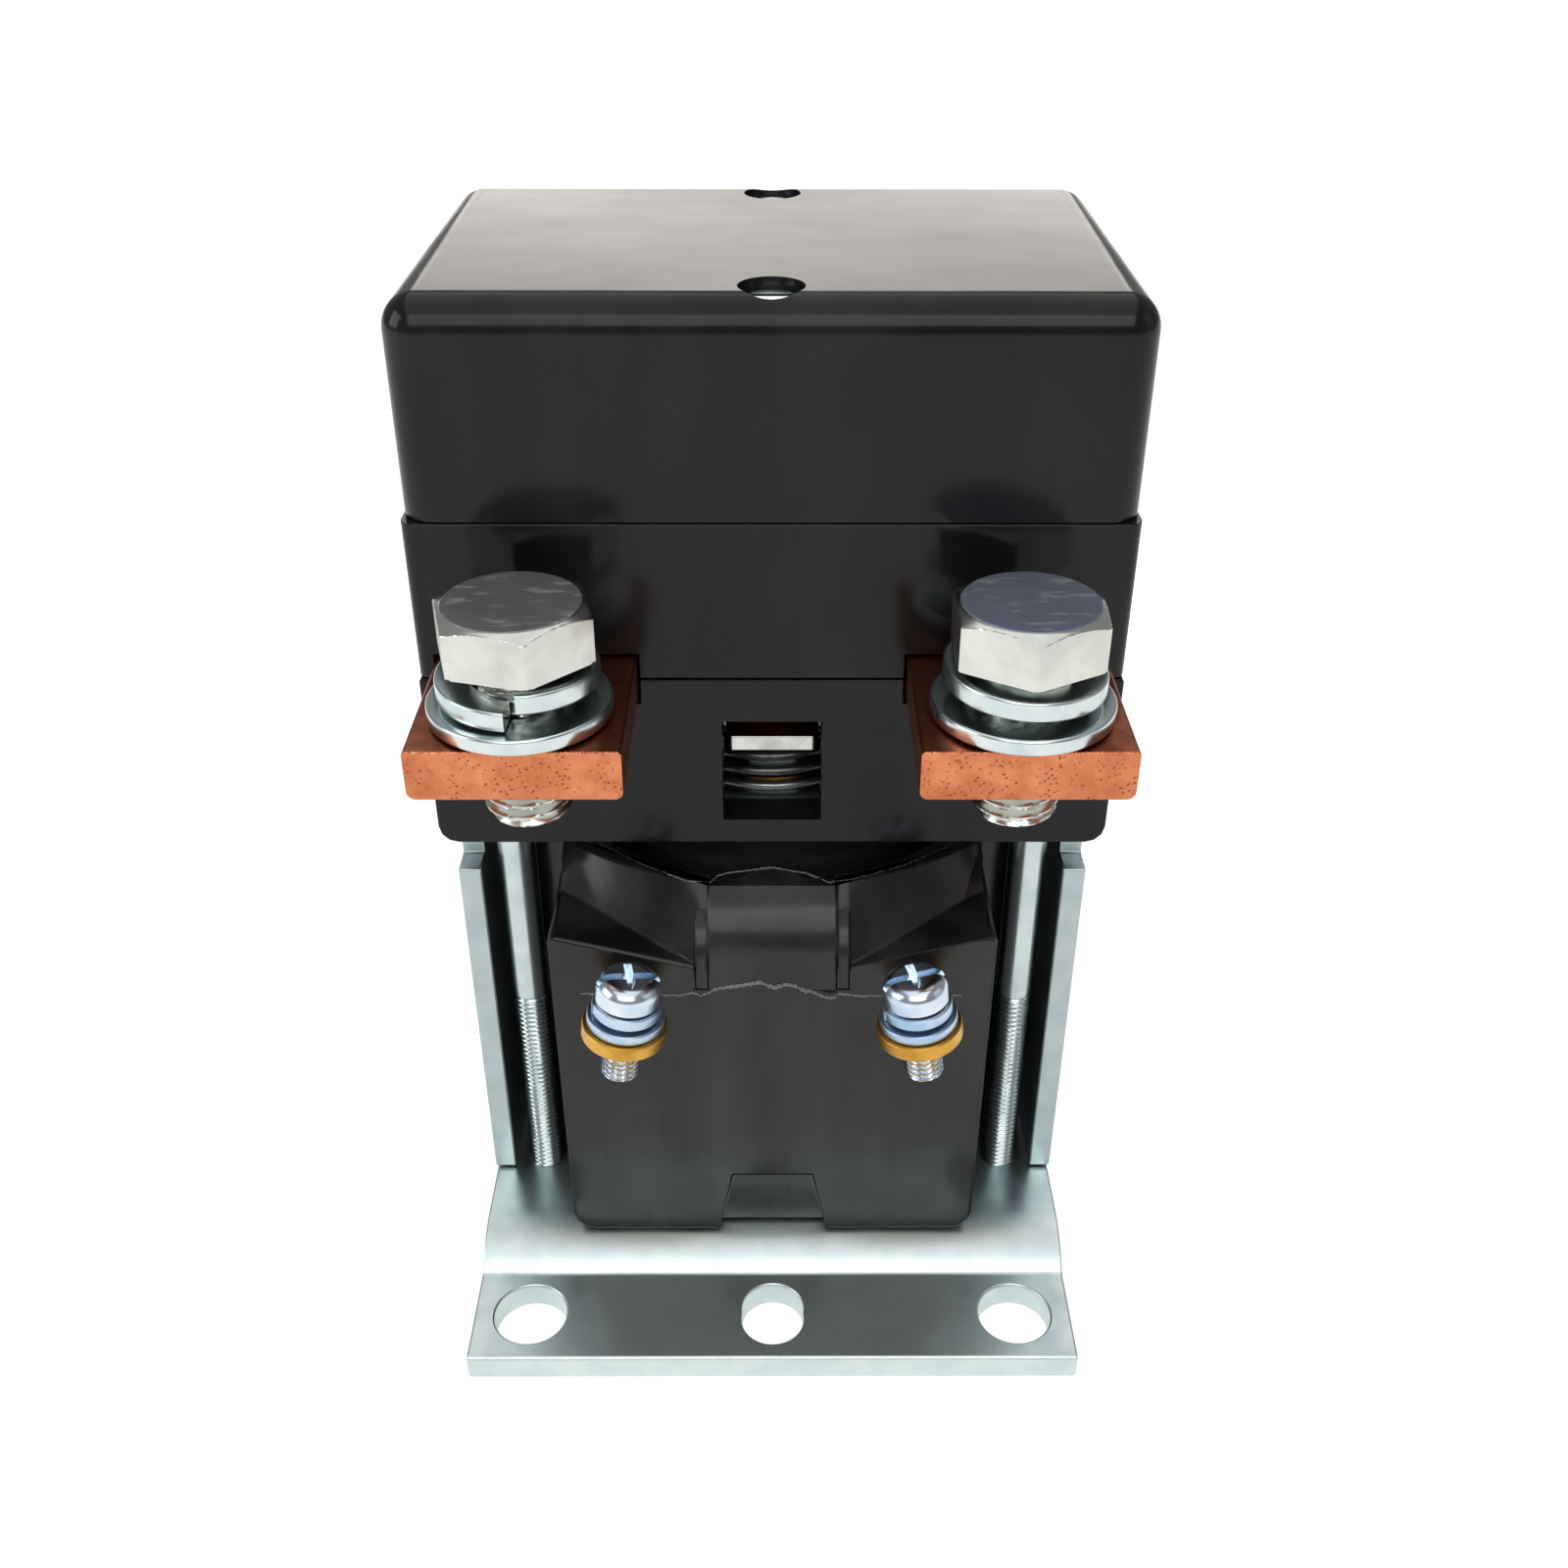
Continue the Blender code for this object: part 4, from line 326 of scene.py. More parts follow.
def make_winding_wire(name):
    """Enamelled wire: rows 0.5 mm apart along Z, with a drift of colour between layers."""
    material, tree, shader, place = start_material(name, "#9a4a22", 0.32)
    shader.inputs["Metallic"].default_value = 0.4
    rows = put(tree, "TexWave", {"Vector": place}, {
        "Scale": 2 * math.pi / 20 * per_mm(0.5), "Distortion": 0.0}, bands_direction="Z")
    drift = put(tree, "TexNoise", {"Vector": place}, {"Scale": per_mm(8), "Detail": 3.0})
    share = spread(tree, drift.outputs["Fac"], 0.35, 0.7)
    tree.links.new(blend_colours(tree, share, "#9a4a22", "#6e2f16"), shader.inputs["Base Color"])
    relief(tree, shader, (rows.outputs["Fac"], 0.2))
    return material


# Red-brown moulding and black nylon: dull and flecked with filler. The wire shines between its rows.
red_phenolic = make_insulator("red_phenolic", "#7a2f23", "#8f4636", 0.42)
nylon = make_insulator("black_nylon", "#1d1d1e", "#2a2a2b", 0.45)
winding_wire = make_winding_wire("enamelled_wire")
print("insulators:", red_phenolic.name, nylon.name, winding_wire.name)

# %% [markdown]
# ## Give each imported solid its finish
#
# Every solid keeps its place and its mesh. Only its material changes. Solids that nobody sees with
# the housing shut still get a real finish, because other poses and cutaways show them.

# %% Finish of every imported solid
FINISH_OF = {
    "black_thermoset": phenolic, "coil_thermoset": coil_compound, "zinc_steel": zinc,
    "blue_zinc": pan_zinc, "bright_steel": bright_steel, "spring_steel": spring_steel,
    "copper": copper, "silver": silver, "brass": brass, "winding": winding_wire,
    "bobbin": nylon, "carrier": red_phenolic,
}
SLOT_OF = {part["node"]: part["material_slot"] for part in frame["record"]["subparts"]}
OWN_FINISH = {"guide_tube": tube_brass, "contact_bridge": bridge_copper}
for name, thing in nodes.items():
    for place in thing.material_slots:
        place.material = OWN_FINISH.get(name, FINISH_OF[SLOT_OF[name]])
BODY_OF = {
    name: body for body, members in frame["record"]["behaviour"]["bodies"].items() for name in members}
print("finished", len(nodes), "solids on bodies", sorted(set(BODY_OF.values())))

# %% [markdown]
# ## From a grid of points to a piece
#
# Most of the pieces below are one idea: a surface whose points are worked out for every row and
# column of a grid at once. One function joins such a grid into quads, closes its seams and poles,
# fills a flat end, and points the faces outwards. Another one then gives the piece its finish, its
# body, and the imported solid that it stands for.

# %% Grid and piece helpers
def grid_mesh(name, points, round_rows=False, round_columns=False):
    """Quads between neighbouring rows and columns of a (rows, columns, 3) grid of points."""
    rows, columns = points.shape[:2]
    index = np.arange(rows * columns).reshape(rows, columns)
    if round_rows:
        index = np.vstack([index, index[:1]])
    if round_columns:
        index = np.hstack([index, index[:, :1]])
    corners = (index[:-1, :-1], index[1:, :-1], index[1:, 1:], index[:-1, 1:])
    quads = np.stack(corners, axis=-1).reshape(-1, 4)
    mesh = bpy.data.meshes.new(name)
    mesh.from_pydata(points.reshape(-1, 3).tolist(), [], quads.tolist())
    close_up(mesh)
    return mesh


def close_up(mesh, dissolve=0.0):
    """Merges the seams and poles, fills flat ends, and points the faces outwards."""
    cage = bmesh.new()
    cage.from_mesh(mesh)
    bmesh.ops.remove_doubles(cage, verts=cage.verts, dist=0.0005 * MM)
    if dissolve:
        bmesh.ops.dissolve_limit(
            cage, angle_limit=math.radians(dissolve), verts=cage.verts, edges=cage.edges)
    bmesh.ops.holes_fill(cage, edges=[edge for edge in cage.edges if edge.is_boundary])
    bmesh.ops.recalc_face_normals(cage, faces=cage.faces)
    cage.to_mesh(mesh)
    cage.free()


def lathe(profile, at=(0.0, 0.0), columns=64, closed=False, turn=None):
    """A profile of (radius, height) pairs turned about a vertical axis.

    x and y are radius times cosine and sine of the angle. A closed profile is the section of a
    ring. turn is a matrix that leans the axis.
    """
    radius, height = np.array(profile).T[:, :, None]
    angle = np.linspace(0, 2 * math.pi, columns, endpoint=False)
    grid = np.stack([
        radius * np.cos(angle) + at[0], radius * np.sin(angle) + at[1], height + 0 * angle], axis=-1)
    mesh = grid_mesh("turned", grid, round_rows=closed, round_columns=True)
    if turn is not None:
        mesh.transform(turn)
    return mesh


def add_object(name, data):
    """A new object at the origin of the scene, for a mesh, a lamp or a camera."""
    thing = bpy.data.objects.new(name, data)
    bpy.context.scene.collection.objects.link(thing)
    return thing


def add_detail(mesh, name, material, node):
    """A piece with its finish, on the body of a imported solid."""
    mesh.materials.clear()
    mesh.materials.append(material)
    detail = add_object(name, mesh)
    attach(detail, BODY_OF[node])
    return detail


def make_piece(mesh, node, material, sharp=None):
    """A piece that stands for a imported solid. Edges that turn by more than sharp degrees stay sharp."""
    mesh.shade_smooth()
    if sharp:
        mesh.set_sharp_from_angle(angle=math.radians(sharp))
    piece = add_detail(mesh, "dressed_" + node, material, node)
    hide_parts(node)
    return piece


def carve(mesh, other, operation="DIFFERENCE"):
    """The mesh after a Boolean with another mesh. The two objects that it takes are thrown away."""
    things = [add_object("carving", each) for each in (mesh, other)]
    change = things[0].modifiers.new("carve", "BOOLEAN")
    change.operation = operation
    change.object = things[1]
    scene_state = bpy.context.evaluated_depsgraph_get()
    result = bpy.data.meshes.new_from_object(things[0].evaluated_get(scene_state))
    for thing in things:
        bpy.data.objects.remove(thing)
    return result


def box_mesh(low, high):
    """A box between two corners: every mix of low and high on the three axes."""
    corners = np.array(np.meshgrid(*zip(low, high), indexing="ij")).reshape(3, -1).T
    faces = [(0, 1, 3, 2), (4, 6, 7, 5), (0, 4, 5, 1), (2, 3, 7, 6), (0, 2, 6, 4), (1, 5, 7, 3)]
    mesh = bpy.data.meshes.new("box")
    mesh.from_pydata(corners.tolist(), [], faces)
    close_up(mesh)
    return mesh


def axis_of(node):
    """Where a solid's upright axis stands: the middle of its box along X and Y."""
    low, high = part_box(node)
    return (low.x + high.x) / 2, (low.y + high.y) / 2


print("helpers ready")

# %% [markdown]
# ## Pressed and cut pieces with broken edges
#
# The frame plates, the bodies, the coil moulding and the strap are already the right shape. What the
# solids lack is the small radius that every real edge has, and that catches the light. A copy of the
# solid has its triangles merged and its flat regions joined. A Bevel then rounds each edge that is
# sharper than a limit, and normals weighted by area keep the flat faces flat. The coil moulding also
# has blunt creases, below that limit, which stay sharp. It is cast round its brass tabs, so the
# slots that the solid has for them are filled first.

# %% Round the edges of a copy
def break_edges(piece, width, segments=3, limit=38):
    """Rounds each edge that turns by more than a limit, and keeps the flat faces flat."""
    edge = piece.modifiers.new("broken edge", "BEVEL")
    edge.width = width * MM
    edge.segments = segments
    edge.limit_method = "ANGLE"
    edge.angle_limit = math.radians(limit)
    edge.use_clamp_overlap = False
    edge.harden_normals = True
    flat = piece.modifiers.new("flat faces", "WEIGHTED_NORMAL")
    flat.keep_sharp = True


def broken_edges(node, material, width, segments=3, limit=38, crease=None, filling=()):
    """A merged copy of a solid, joined to other meshes, with edges rounded by width in millimetres.

    Edges that turn by more than crease and less than limit, in degrees, stay sharp.
    """
    source = nodes[node].data
    mesh = bpy.data.meshes.new(node)
    points = np.empty(len(source.vertices) * 3)
    source.vertices.foreach_get("co", points)
    faces = [list(face.vertices) for face in source.polygons]
    mesh.from_pydata(points.reshape(-1, 3).tolist(), [], faces)
    close_up(mesh)
    for other in filling:
        mesh = carve(mesh, other, "UNION")
    close_up(mesh, dissolve=0.6)
    piece = make_piece(mesh, node, material)
    if crease:
        cage = bmesh.new()
        cage.from_mesh(mesh)
        for edge in cage.edges:
            turn = edge.calc_face_angle(0.0)
            edge.smooth = not math.radians(crease) < turn < math.radians(limit)
        cage.to_mesh(mesh)
        cage.free()
    break_edges(piece, width, segments, limit)


# The frame plates and the pole plate take the darker zinc copy, whose darkness is painted shade.
for node in ("side_plate_left", "side_plate_right", "pole_plate"):
    broken_edges(node, shaded_plate_zinc, 0.25)
for node in ("mid_body", "lower_body"):
    broken_edges(node, phenolic, 0.12, 2)
COIL_FACE = -37.0 * MM
TAB_LEAN = math.radians(7.5)


def tab_frame(sign):
    """The matrix of a coil terminal: its spot on the front face, with its outer side leaning down."""
    spot = Matrix.Translation((sign * 18.3 * MM, COIL_FACE, 51.0 * MM))
    return spot @ Matrix.Rotation(-sign * TAB_LEAN, 4, "Y")


seals = []
for sign in (-1, 1):
    seal = box_mesh((-5.8 * MM, 0.0, -0.5 * MM), (5.8 * MM, 2.5 * MM, 2.5 * MM))
    seal.transform(tab_frame(sign))
    seals.append(seal)
broken_edges("coil_moulding", coil_compound, 0.30, 2, crease=21, filling=seals)
broken_edges("guide_strap", bright_steel, 0.20)
print("rounded the edges of 7 pieces")

# %% [markdown]
# ## Bent bracket and sawn bars
#
# The bracket is a strip of 4 mm sheet, bent twice at each end. Outside a bend the sheet takes a wide
# radius, and inside it a tight one, which draws a dark line across the foot. Its side view is a
# polygon whose corners are rounded one by one: each corner becomes an arc that touches both of its
# sides. The outline is carried along X, the holes are cut, and a Bevel breaks the edges. A copper bar
# is the same idea with its section carried along Y: its lower edges are rounder than its upper ones.

# %% Outlines with rounded corners
def rounded_outline(corners, steps=10):
    """Points of a polygon of (u, v, radius) corners. The arc starts radius * tan(turn / 2) away."""
    spots = np.array([corner[:2] for corner in corners])
    points = []
    neighbours = zip(spots, np.roll(spots, 1, 0), np.roll(spots, -1, 0), corners)
    for spot, before, after, (_, _, radius) in neighbours:
        back = (before - spot) / np.linalg.norm(before - spot)
        ahead = (after - spot) / np.linalg.norm(after - spot)
        opening = math.acos(np.clip(back @ ahead, -1, 1))
        reach = radius / math.tan(opening / 2)
        start, end = spot + back * reach, spot + ahead * reach
        inwards = (back + ahead) / np.linalg.norm(back + ahead)
        middle = spot + inwards * radius / math.sin(opening / 2)
        first, last = start - middle, end - middle
        share = np.linspace(0, 1, steps)[:, None]
        turn = math.pi - opening
        arc = (np.sin((1 - share) * turn) * first + np.sin(share * turn) * last) / math.sin(turn)
        points.append(middle + arc)
    return np.concatenate(points)


def along_axis(outline, low, high, axis):
    """A prism: the outline of (u, v) points at both ends of a length along X or Y."""
    ends = np.array([low, high])[:, None]
    length = ends + 0 * outline[None, :, 0]
    u, v = (np.broadcast_to(outline[:, k], length.shape) for k in (0, 1))
    order = (length, u, v) if axis == "X" else (u, length, v)
    return grid_mesh("prism", np.stack(order, axis=-1), round_columns=True)


def drill(mesh, at, radius, low, high, columns):
    """The mesh with an upright hole of some radius, cut between two heights."""
    return carve(mesh, lathe([(radius, low), (radius, high)], at, columns))


low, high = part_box("base_bracket")
SHEET = 4.0 * MM
FOOT_START, FOOT_SLOPE = 42.0 * MM, 4.0 * MM
raised = high.z - SHEET
shift = SHEET * math.tan(math.atan2(raised, FOOT_SLOPE) / 2)
half_outline = [  # (y, z, radius of the corner) of the rear half, from its top to its underside
    (FOOT_START - FOOT_SLOPE, high.z, 12.5 * MM), (FOOT_START, SHEET, 1.0 * MM),
    (high.y, SHEET, 0.5 * MM), (high.y, 0.0, 0.5 * MM),
    (FOOT_START - shift, 0.0, 4.0 * MM), (FOOT_START - FOOT_SLOPE - shift, raised, 8.5 * MM)]
outline = rounded_outline(half_outline + [(-y, z, r) for y, z, r in reversed(half_outline)])
bracket_mesh = along_axis(outline, low.x, high.x, "X")
hole_y, hole_x, slot_reach = high.y - 7.4 * MM, high.x - 7.7 * MM, 0.8 * MM
holes = [(x, y, 4.9 * MM) for x in (-hole_x, hole_x) for y in (-hole_y, hole_y)]
holes += [(0.0, y + step, 4.2 * MM) for y in (-hole_y, hole_y) for step in (-slot_reach, slot_reach)]
for x, y, radius in holes:
    bracket_mesh = drill(bracket_mesh, (x, y), radius, -MM, 9 * MM, 48)
# The bracket takes the lighter zinc copy, whose brightness is painted light.
break_edges(make_piece(bracket_mesh, "base_bracket", lit_sheet_zinc), 0.30, 3, 50)
print("bracket:", len(bracket_mesh.polygons), "faces before its edges are broken")

UPPER_EDGE, UNDER_EDGE, BOLT_HOLE = 0.45 * MM, 1.0 * MM, 5.4 * MM
for side in ("left", "right"):
    low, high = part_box("terminal_bar_" + side)
    section = rounded_outline([
        (low.x, high.z, UPPER_EDGE), (high.x, high.z, UPPER_EDGE),
        (high.x, low.z, UNDER_EDGE), (low.x, low.z, UNDER_EDGE)], 6)
    bar_mesh = along_axis(section, low.y, high.y, "Y")
    bar_mesh = drill(bar_mesh, axis_of("terminal_bolt_" + side), BOLT_HOLE, low.z - MM, high.z + MM, 64)
    break_edges(make_piece(bar_mesh, "terminal_bar_" + side, copper), 0.14, 2, 50)
print("bars sawn and drilled")

# %% [markdown]
# ## The top cap
#
# The cap is one deep moulding: straight walls, a large radius all round the top, and a thin wall
# inside. It is a rounded rectangle carried along a profile. At each step of the profile the
# rectangle moves in by some distance, and its corner radius shrinks by the same distance, which is
# what makes the corners of the top turn into parts of a sphere. Two sunk holes take the screws.

# %% Rounded rectangle along a profile
def rectangle_loft(profile, half_x, half_y, corner, steps=10):
    """Points of round-cornered rectangles, one for each (inset, height) pair of the profile.

    A corner's points are its centre plus the shrunken radius times cosine and sine.
    """
    inset, height = np.array(profile).T[:, :, None]
    radius = np.maximum(corner - inset, 0.02 * MM)
    quarter = np.linspace(0, math.pi / 2, steps)
    angle = np.concatenate([quarter + side * math.pi / 2 for side in range(4)])
    sign_x = np.repeat([1, -1, -1, 1], steps)
    sign_y = np.repeat([1, 1, -1, -1], steps)
    x = sign_x * (half_x - inset - radius) + radius * np.cos(angle)
    y = sign_y * (half_y - inset - radius) + radius * np.sin(angle)
    return np.stack([x, y, height + 0 * x], axis=-1)


def fillet(centre, radius, start, end, steps=9):
    """Points on an arc from one angle to another, in degrees, round a centre."""
    angle = np.radians(np.linspace(start, end, steps))
    return list(zip(centre[0] + radius * np.cos(angle), centre[1] + radius * np.sin(angle)))


cap_low, cap_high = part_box("top_cap")
CAP_RADIUS = 4.0 * MM
CAP_WALL = 3.0 * MM
PILLAR, BORE, SINK = 4.4 * MM, 2.3 * MM, 3.7 * MM
cap_foot = cap_low.z - 0.2 * MM
outer = [(0.10 * MM, cap_foot), (0.0, cap_foot + 0.10 * MM)] + [
    (CAP_RADIUS - x, z) for x, z in fillet((0.0, cap_high.z - CAP_RADIUS), CAP_RADIUS, 0, 90, 14)]
ceiling = cap_high.z - CAP_WALL
inner = [(CAP_WALL + 2.0 * MM, ceiling), (CAP_WALL, ceiling - 2.0 * MM), (CAP_WALL, cap_foot)]
cap_mesh = grid_mesh("cap", rectangle_loft(
    inner + outer, cap_high.x + 0.3 * MM, cap_high.y + 0.2 * MM, CAP_RADIUS, 12), round_columns=True)
for node in ("cap_screw_front", "cap_screw_rear"):
    at = axis_of(node)
    pillar = [(0, cap_foot), (PILLAR, cap_foot), (PILLAR, ceiling + MM), (0, ceiling + MM)]
    cap_mesh = carve(cap_mesh, lathe(pillar, at), "UNION")
    seat, below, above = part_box(node)[1].z - 2.9 * MM, cap_low.z - MM, cap_high.z + MM
    hole = [(0, below), (BORE, below), (BORE, seat), (SINK, seat), (SINK, above), (0, above)]
    cap_mesh = carve(cap_mesh, lathe(hole, at))
make_piece(cap_mesh, "top_cap", phenolic, sharp=32)
print("cap:", len(cap_mesh.polygons), "faces")

# %% [markdown]
# ## Screws and bolts in one surface
#
# A bolt is a turned shape, except that its head is a hexagon and its shank has a helix rolled into
# it. Both fit one grid of angle and height. The head's radius is the smaller of two radii: the
# hexagon's, which is half the flats divided by the cosine of the angle from the middle of a flat,
# and the cone that the corners are turned with. The thread's radius is the outer radius minus the
# depth of a groove, and the groove's place is the height in pitches minus the angle in turns.

# %% Hexagons and threads on a grid
def screw_mesh(rows, columns, pitch, at=(0.0, 0.0), flats=0.0, spin=0.0):
    """An upright screw. Each row is (radius limit, height, is hexagon, thread depth).

    Hexagon radius: flats / 2 / cos(angle from the nearest flat's middle).
    Thread: the tooth is full where the wave |2t - 1| is near 1, with t = height / pitch - turns.
    """
    limit, height, is_hexagon, depth = np.array(rows, float).T[:, :, None]
    angle = np.linspace(0, 2 * math.pi, columns, endpoint=False)
    from_flat = np.mod(angle - spin, math.pi / 3) - math.pi / 6
    hexagon = flats / 2 / np.cos(from_flat)
    radius = np.where(is_hexagon > 0, np.minimum(hexagon, limit), limit + 0 * angle)
    wave = np.abs(2 * np.mod(height / pitch - angle / (2 * math.pi), 1.0) - 1)
    tooth = np.clip((wave - 0.22) / (1 - 0.22 - 0.14), 0, 1)
    radius = np.maximum(radius - depth * (1 - tooth), 0.0)
    grid = np.stack([radius * np.cos(angle), radius * np.sin(angle), height + 0 * angle], axis=-1)
    mesh = grid_mesh("screw", grid, round_columns=True)
    mesh.transform(Matrix.Translation((*at, 0.0)))
    return mesh


def thread_rows(radius, top, end, pitch, depth, chamfer, per_pitch=9):
    """Rows down a rolled thread, which fades in under the plain shank and ends in a chamfer."""
    height = np.linspace(top, end, int((top - end) / pitch * per_pitch) + 2)
    fade = np.clip((top - height) / (1.2 * pitch), 0, 1)
    limit = np.minimum(radius, radius - chamfer + (height - end))
    return [(r, z, 0, depth * f) for r, z, f in zip(limit, height, fade)]


BOLT_RADIUS, BOLT_PITCH, BOLT_GROOVE = 5.0 * MM, 1.5 * MM, 0.9 * MM
BOLT_FLATS, BOLT_HEAD, BOLT_COLLAR = 16.0 * MM, 6.4 * MM, 7.6 * MM
CORNER = BOLT_FLATS / math.sqrt(3)
CROWN = BOLT_FLATS / 2 * 0.94
CONE_SLOPE = math.tan(math.radians(28))
for side, corner_at, plating in (("left", 45, bolt_zinc), ("right", 29, bluish_shaded_bolt_zinc)):
    low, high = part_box("terminal_bolt_" + side)
    at = axis_of("terminal_bolt_" + side)
    seat = high.z - BOLT_HEAD
    rims = np.linspace(CROWN + 0.1 * MM, CORNER + 0.2 * MM, 12)
    cone = [(r, high.z - 0.12 * MM - (r - CROWN) * CONE_SLOPE, 1, 0) for r in rims]
    head = [(0, high.z, 0, 0), (CROWN - 0.1 * MM, high.z, 0, 0), (CROWN, high.z - 0.05 * MM, 0, 0)]
    under = [(2 * CORNER, seat + 0.75 * MM, 1, 0), (2 * CORNER, seat + 0.40 * MM, 1, 0),
             (CORNER - 0.2 * MM, seat + 0.25 * MM, 1, 0), (BOLT_COLLAR, seat + 0.25 * MM, 0, 0),
             (BOLT_COLLAR, seat, 0, 0), (BOLT_RADIUS, seat, 0, 0)]
    thread = thread_rows(BOLT_RADIUS, seat - 1.0 * MM, low.z, BOLT_PITCH, BOLT_GROOVE, 1.0 * MM)
    rows = head + cone + under + thread + [(0, low.z, 0, 0)]
    mesh = screw_mesh(rows, 120, BOLT_PITCH, at, BOLT_FLATS, math.radians(corner_at))
    make_piece(mesh, "terminal_bolt_" + side, plating, sharp=24)
    print("bolt", side, "axis", [round(v, 5) for v in at], len(mesh.polygons), "faces")

# %% [markdown]
# ## Long frame screws
#
# Four long screws of 5 mm run from the lower body down into the bracket. The upper half is plain,
# the lower half is threaded with a pitch of 0.8 mm. The plain part is as thick as the crests. The
# coil screws further down have the same pitch and depth of thread.

# %% Frame screws
THREAD_START = 40.0 * MM
PITCH, GROOVE, CHAMFER = 0.8 * MM, 0.42 * MM, 0.5 * MM
SHANK, HEAD, SOCKET = 2.5 * MM, 4.2 * MM, 2.1 * MM
for front in ("front", "rear"):
    for side in ("left", "right"):
        node = f"frame_screw_{front}_{side}"
        low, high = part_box(node)
        seat, pit = high.z - 4.6 * MM, high.z - 2.1 * MM
        head = [(0, pit, 0, 0), (SOCKET, pit, 0, 0), (SOCKET, high.z, 0, 0),
                (HEAD - 0.5 * MM, high.z, 0, 0), (HEAD, high.z - 0.5 * MM, 0, 0), (HEAD, seat, 0, 0),
                (SHANK, seat, 0, 0), (SHANK, THREAD_START + MM, 0, 0)]
        thread = thread_rows(SHANK, THREAD_START, low.z, PITCH, GROOVE, CHAMFER, 8)
        rows = head + thread + [(0, low.z, 0, 0)]
        mesh = screw_mesh(rows, 28, PITCH, axis_of(node))
        make_piece(mesh, node, zinc, sharp=40)
print("frame screws are threaded below z =", THREAD_START)

# %% [markdown]
# ## Washers
#
# A flat washer is a rounded rectangle turned about its axis. A spring washer is the same section
# carried almost once round while it climbs, so that its two cut ends stand apart like a step. Both
# are a section on a grid of angle.

# %% Flat and split washers
def ring_section(inner, outer, low, high, edge):
    """The section of a ring in (radius, height), counter-clockwise, with its corners rounded."""
    corners = (((outer - edge, high - edge), 0), ((inner + edge, high - edge), 90),
               ((inner + edge, low + edge), 180), ((outer - edge, low + edge), 270))
    return [point for centre, start in corners for point in fillet(centre, edge, start, start + 90, 5)]


def split_washer(section, rise, split, turn, columns=72):
    """The section carried round from one side of the split to the other, climbing by rise.

    split is where the cut ends stand, in degrees, and turn is the matrix of the washer's axis.
    """
    radius, height = np.array(section).T[:, :, None]
    share = np.linspace(0, 1, columns)
    angle = math.radians(split) + SPLIT_OPENING / 2 + share * (2 * math.pi - SPLIT_OPENING)
    climb = height + rise * (1 - share)
    grid = np.stack([radius * np.cos(angle), radius * np.sin(angle), climb], axis=-1)
    mesh = grid_mesh("split washer", grid, round_rows=True)
    mesh.transform(turn)
    return mesh


SPLIT_OPENING = math.radians(9)
WASHER_OUTER, WASHER_WIDTH, WASHER_THICK = 9.05 * MM, 3.7 * MM, 2.3 * MM
for side, split in (("left", -88), ("right", 120)):
    low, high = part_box("flat_washer_" + side)
    at = axis_of("flat_washer_" + side)
    section = ring_section(5.3 * MM, high.x - at[0], low.z, high.z, 0.35 * MM)
    make_piece(lathe(section, at, 96, closed=True), "flat_washer_" + side, washer_zinc, sharp=40)
    low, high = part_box("spring_washer_" + side)
    rise = high.z - low.z - WASHER_THICK
    section = ring_section(
        WASHER_OUTER - WASHER_WIDTH, WASHER_OUTER, low.z, low.z + WASHER_THICK, 0.30 * MM)
    mesh = split_washer(section, rise, split, Matrix.Translation((*at, 0.0)))
    make_piece(mesh, "spring_washer_" + side, washer_zinc, sharp=40)
print("washers made for both terminals")

# %% [markdown]
# ## Coil terminals
#
# Each coil terminal is a brass tab that leaves the moulding with a lean, so its screw leans too.
# The screw is a small pan head with a slot and a shorter cross cut, over a spring washer and a flat
# washer with a blue film. The pieces are made upright on the Z axis and then take the tab's lean.

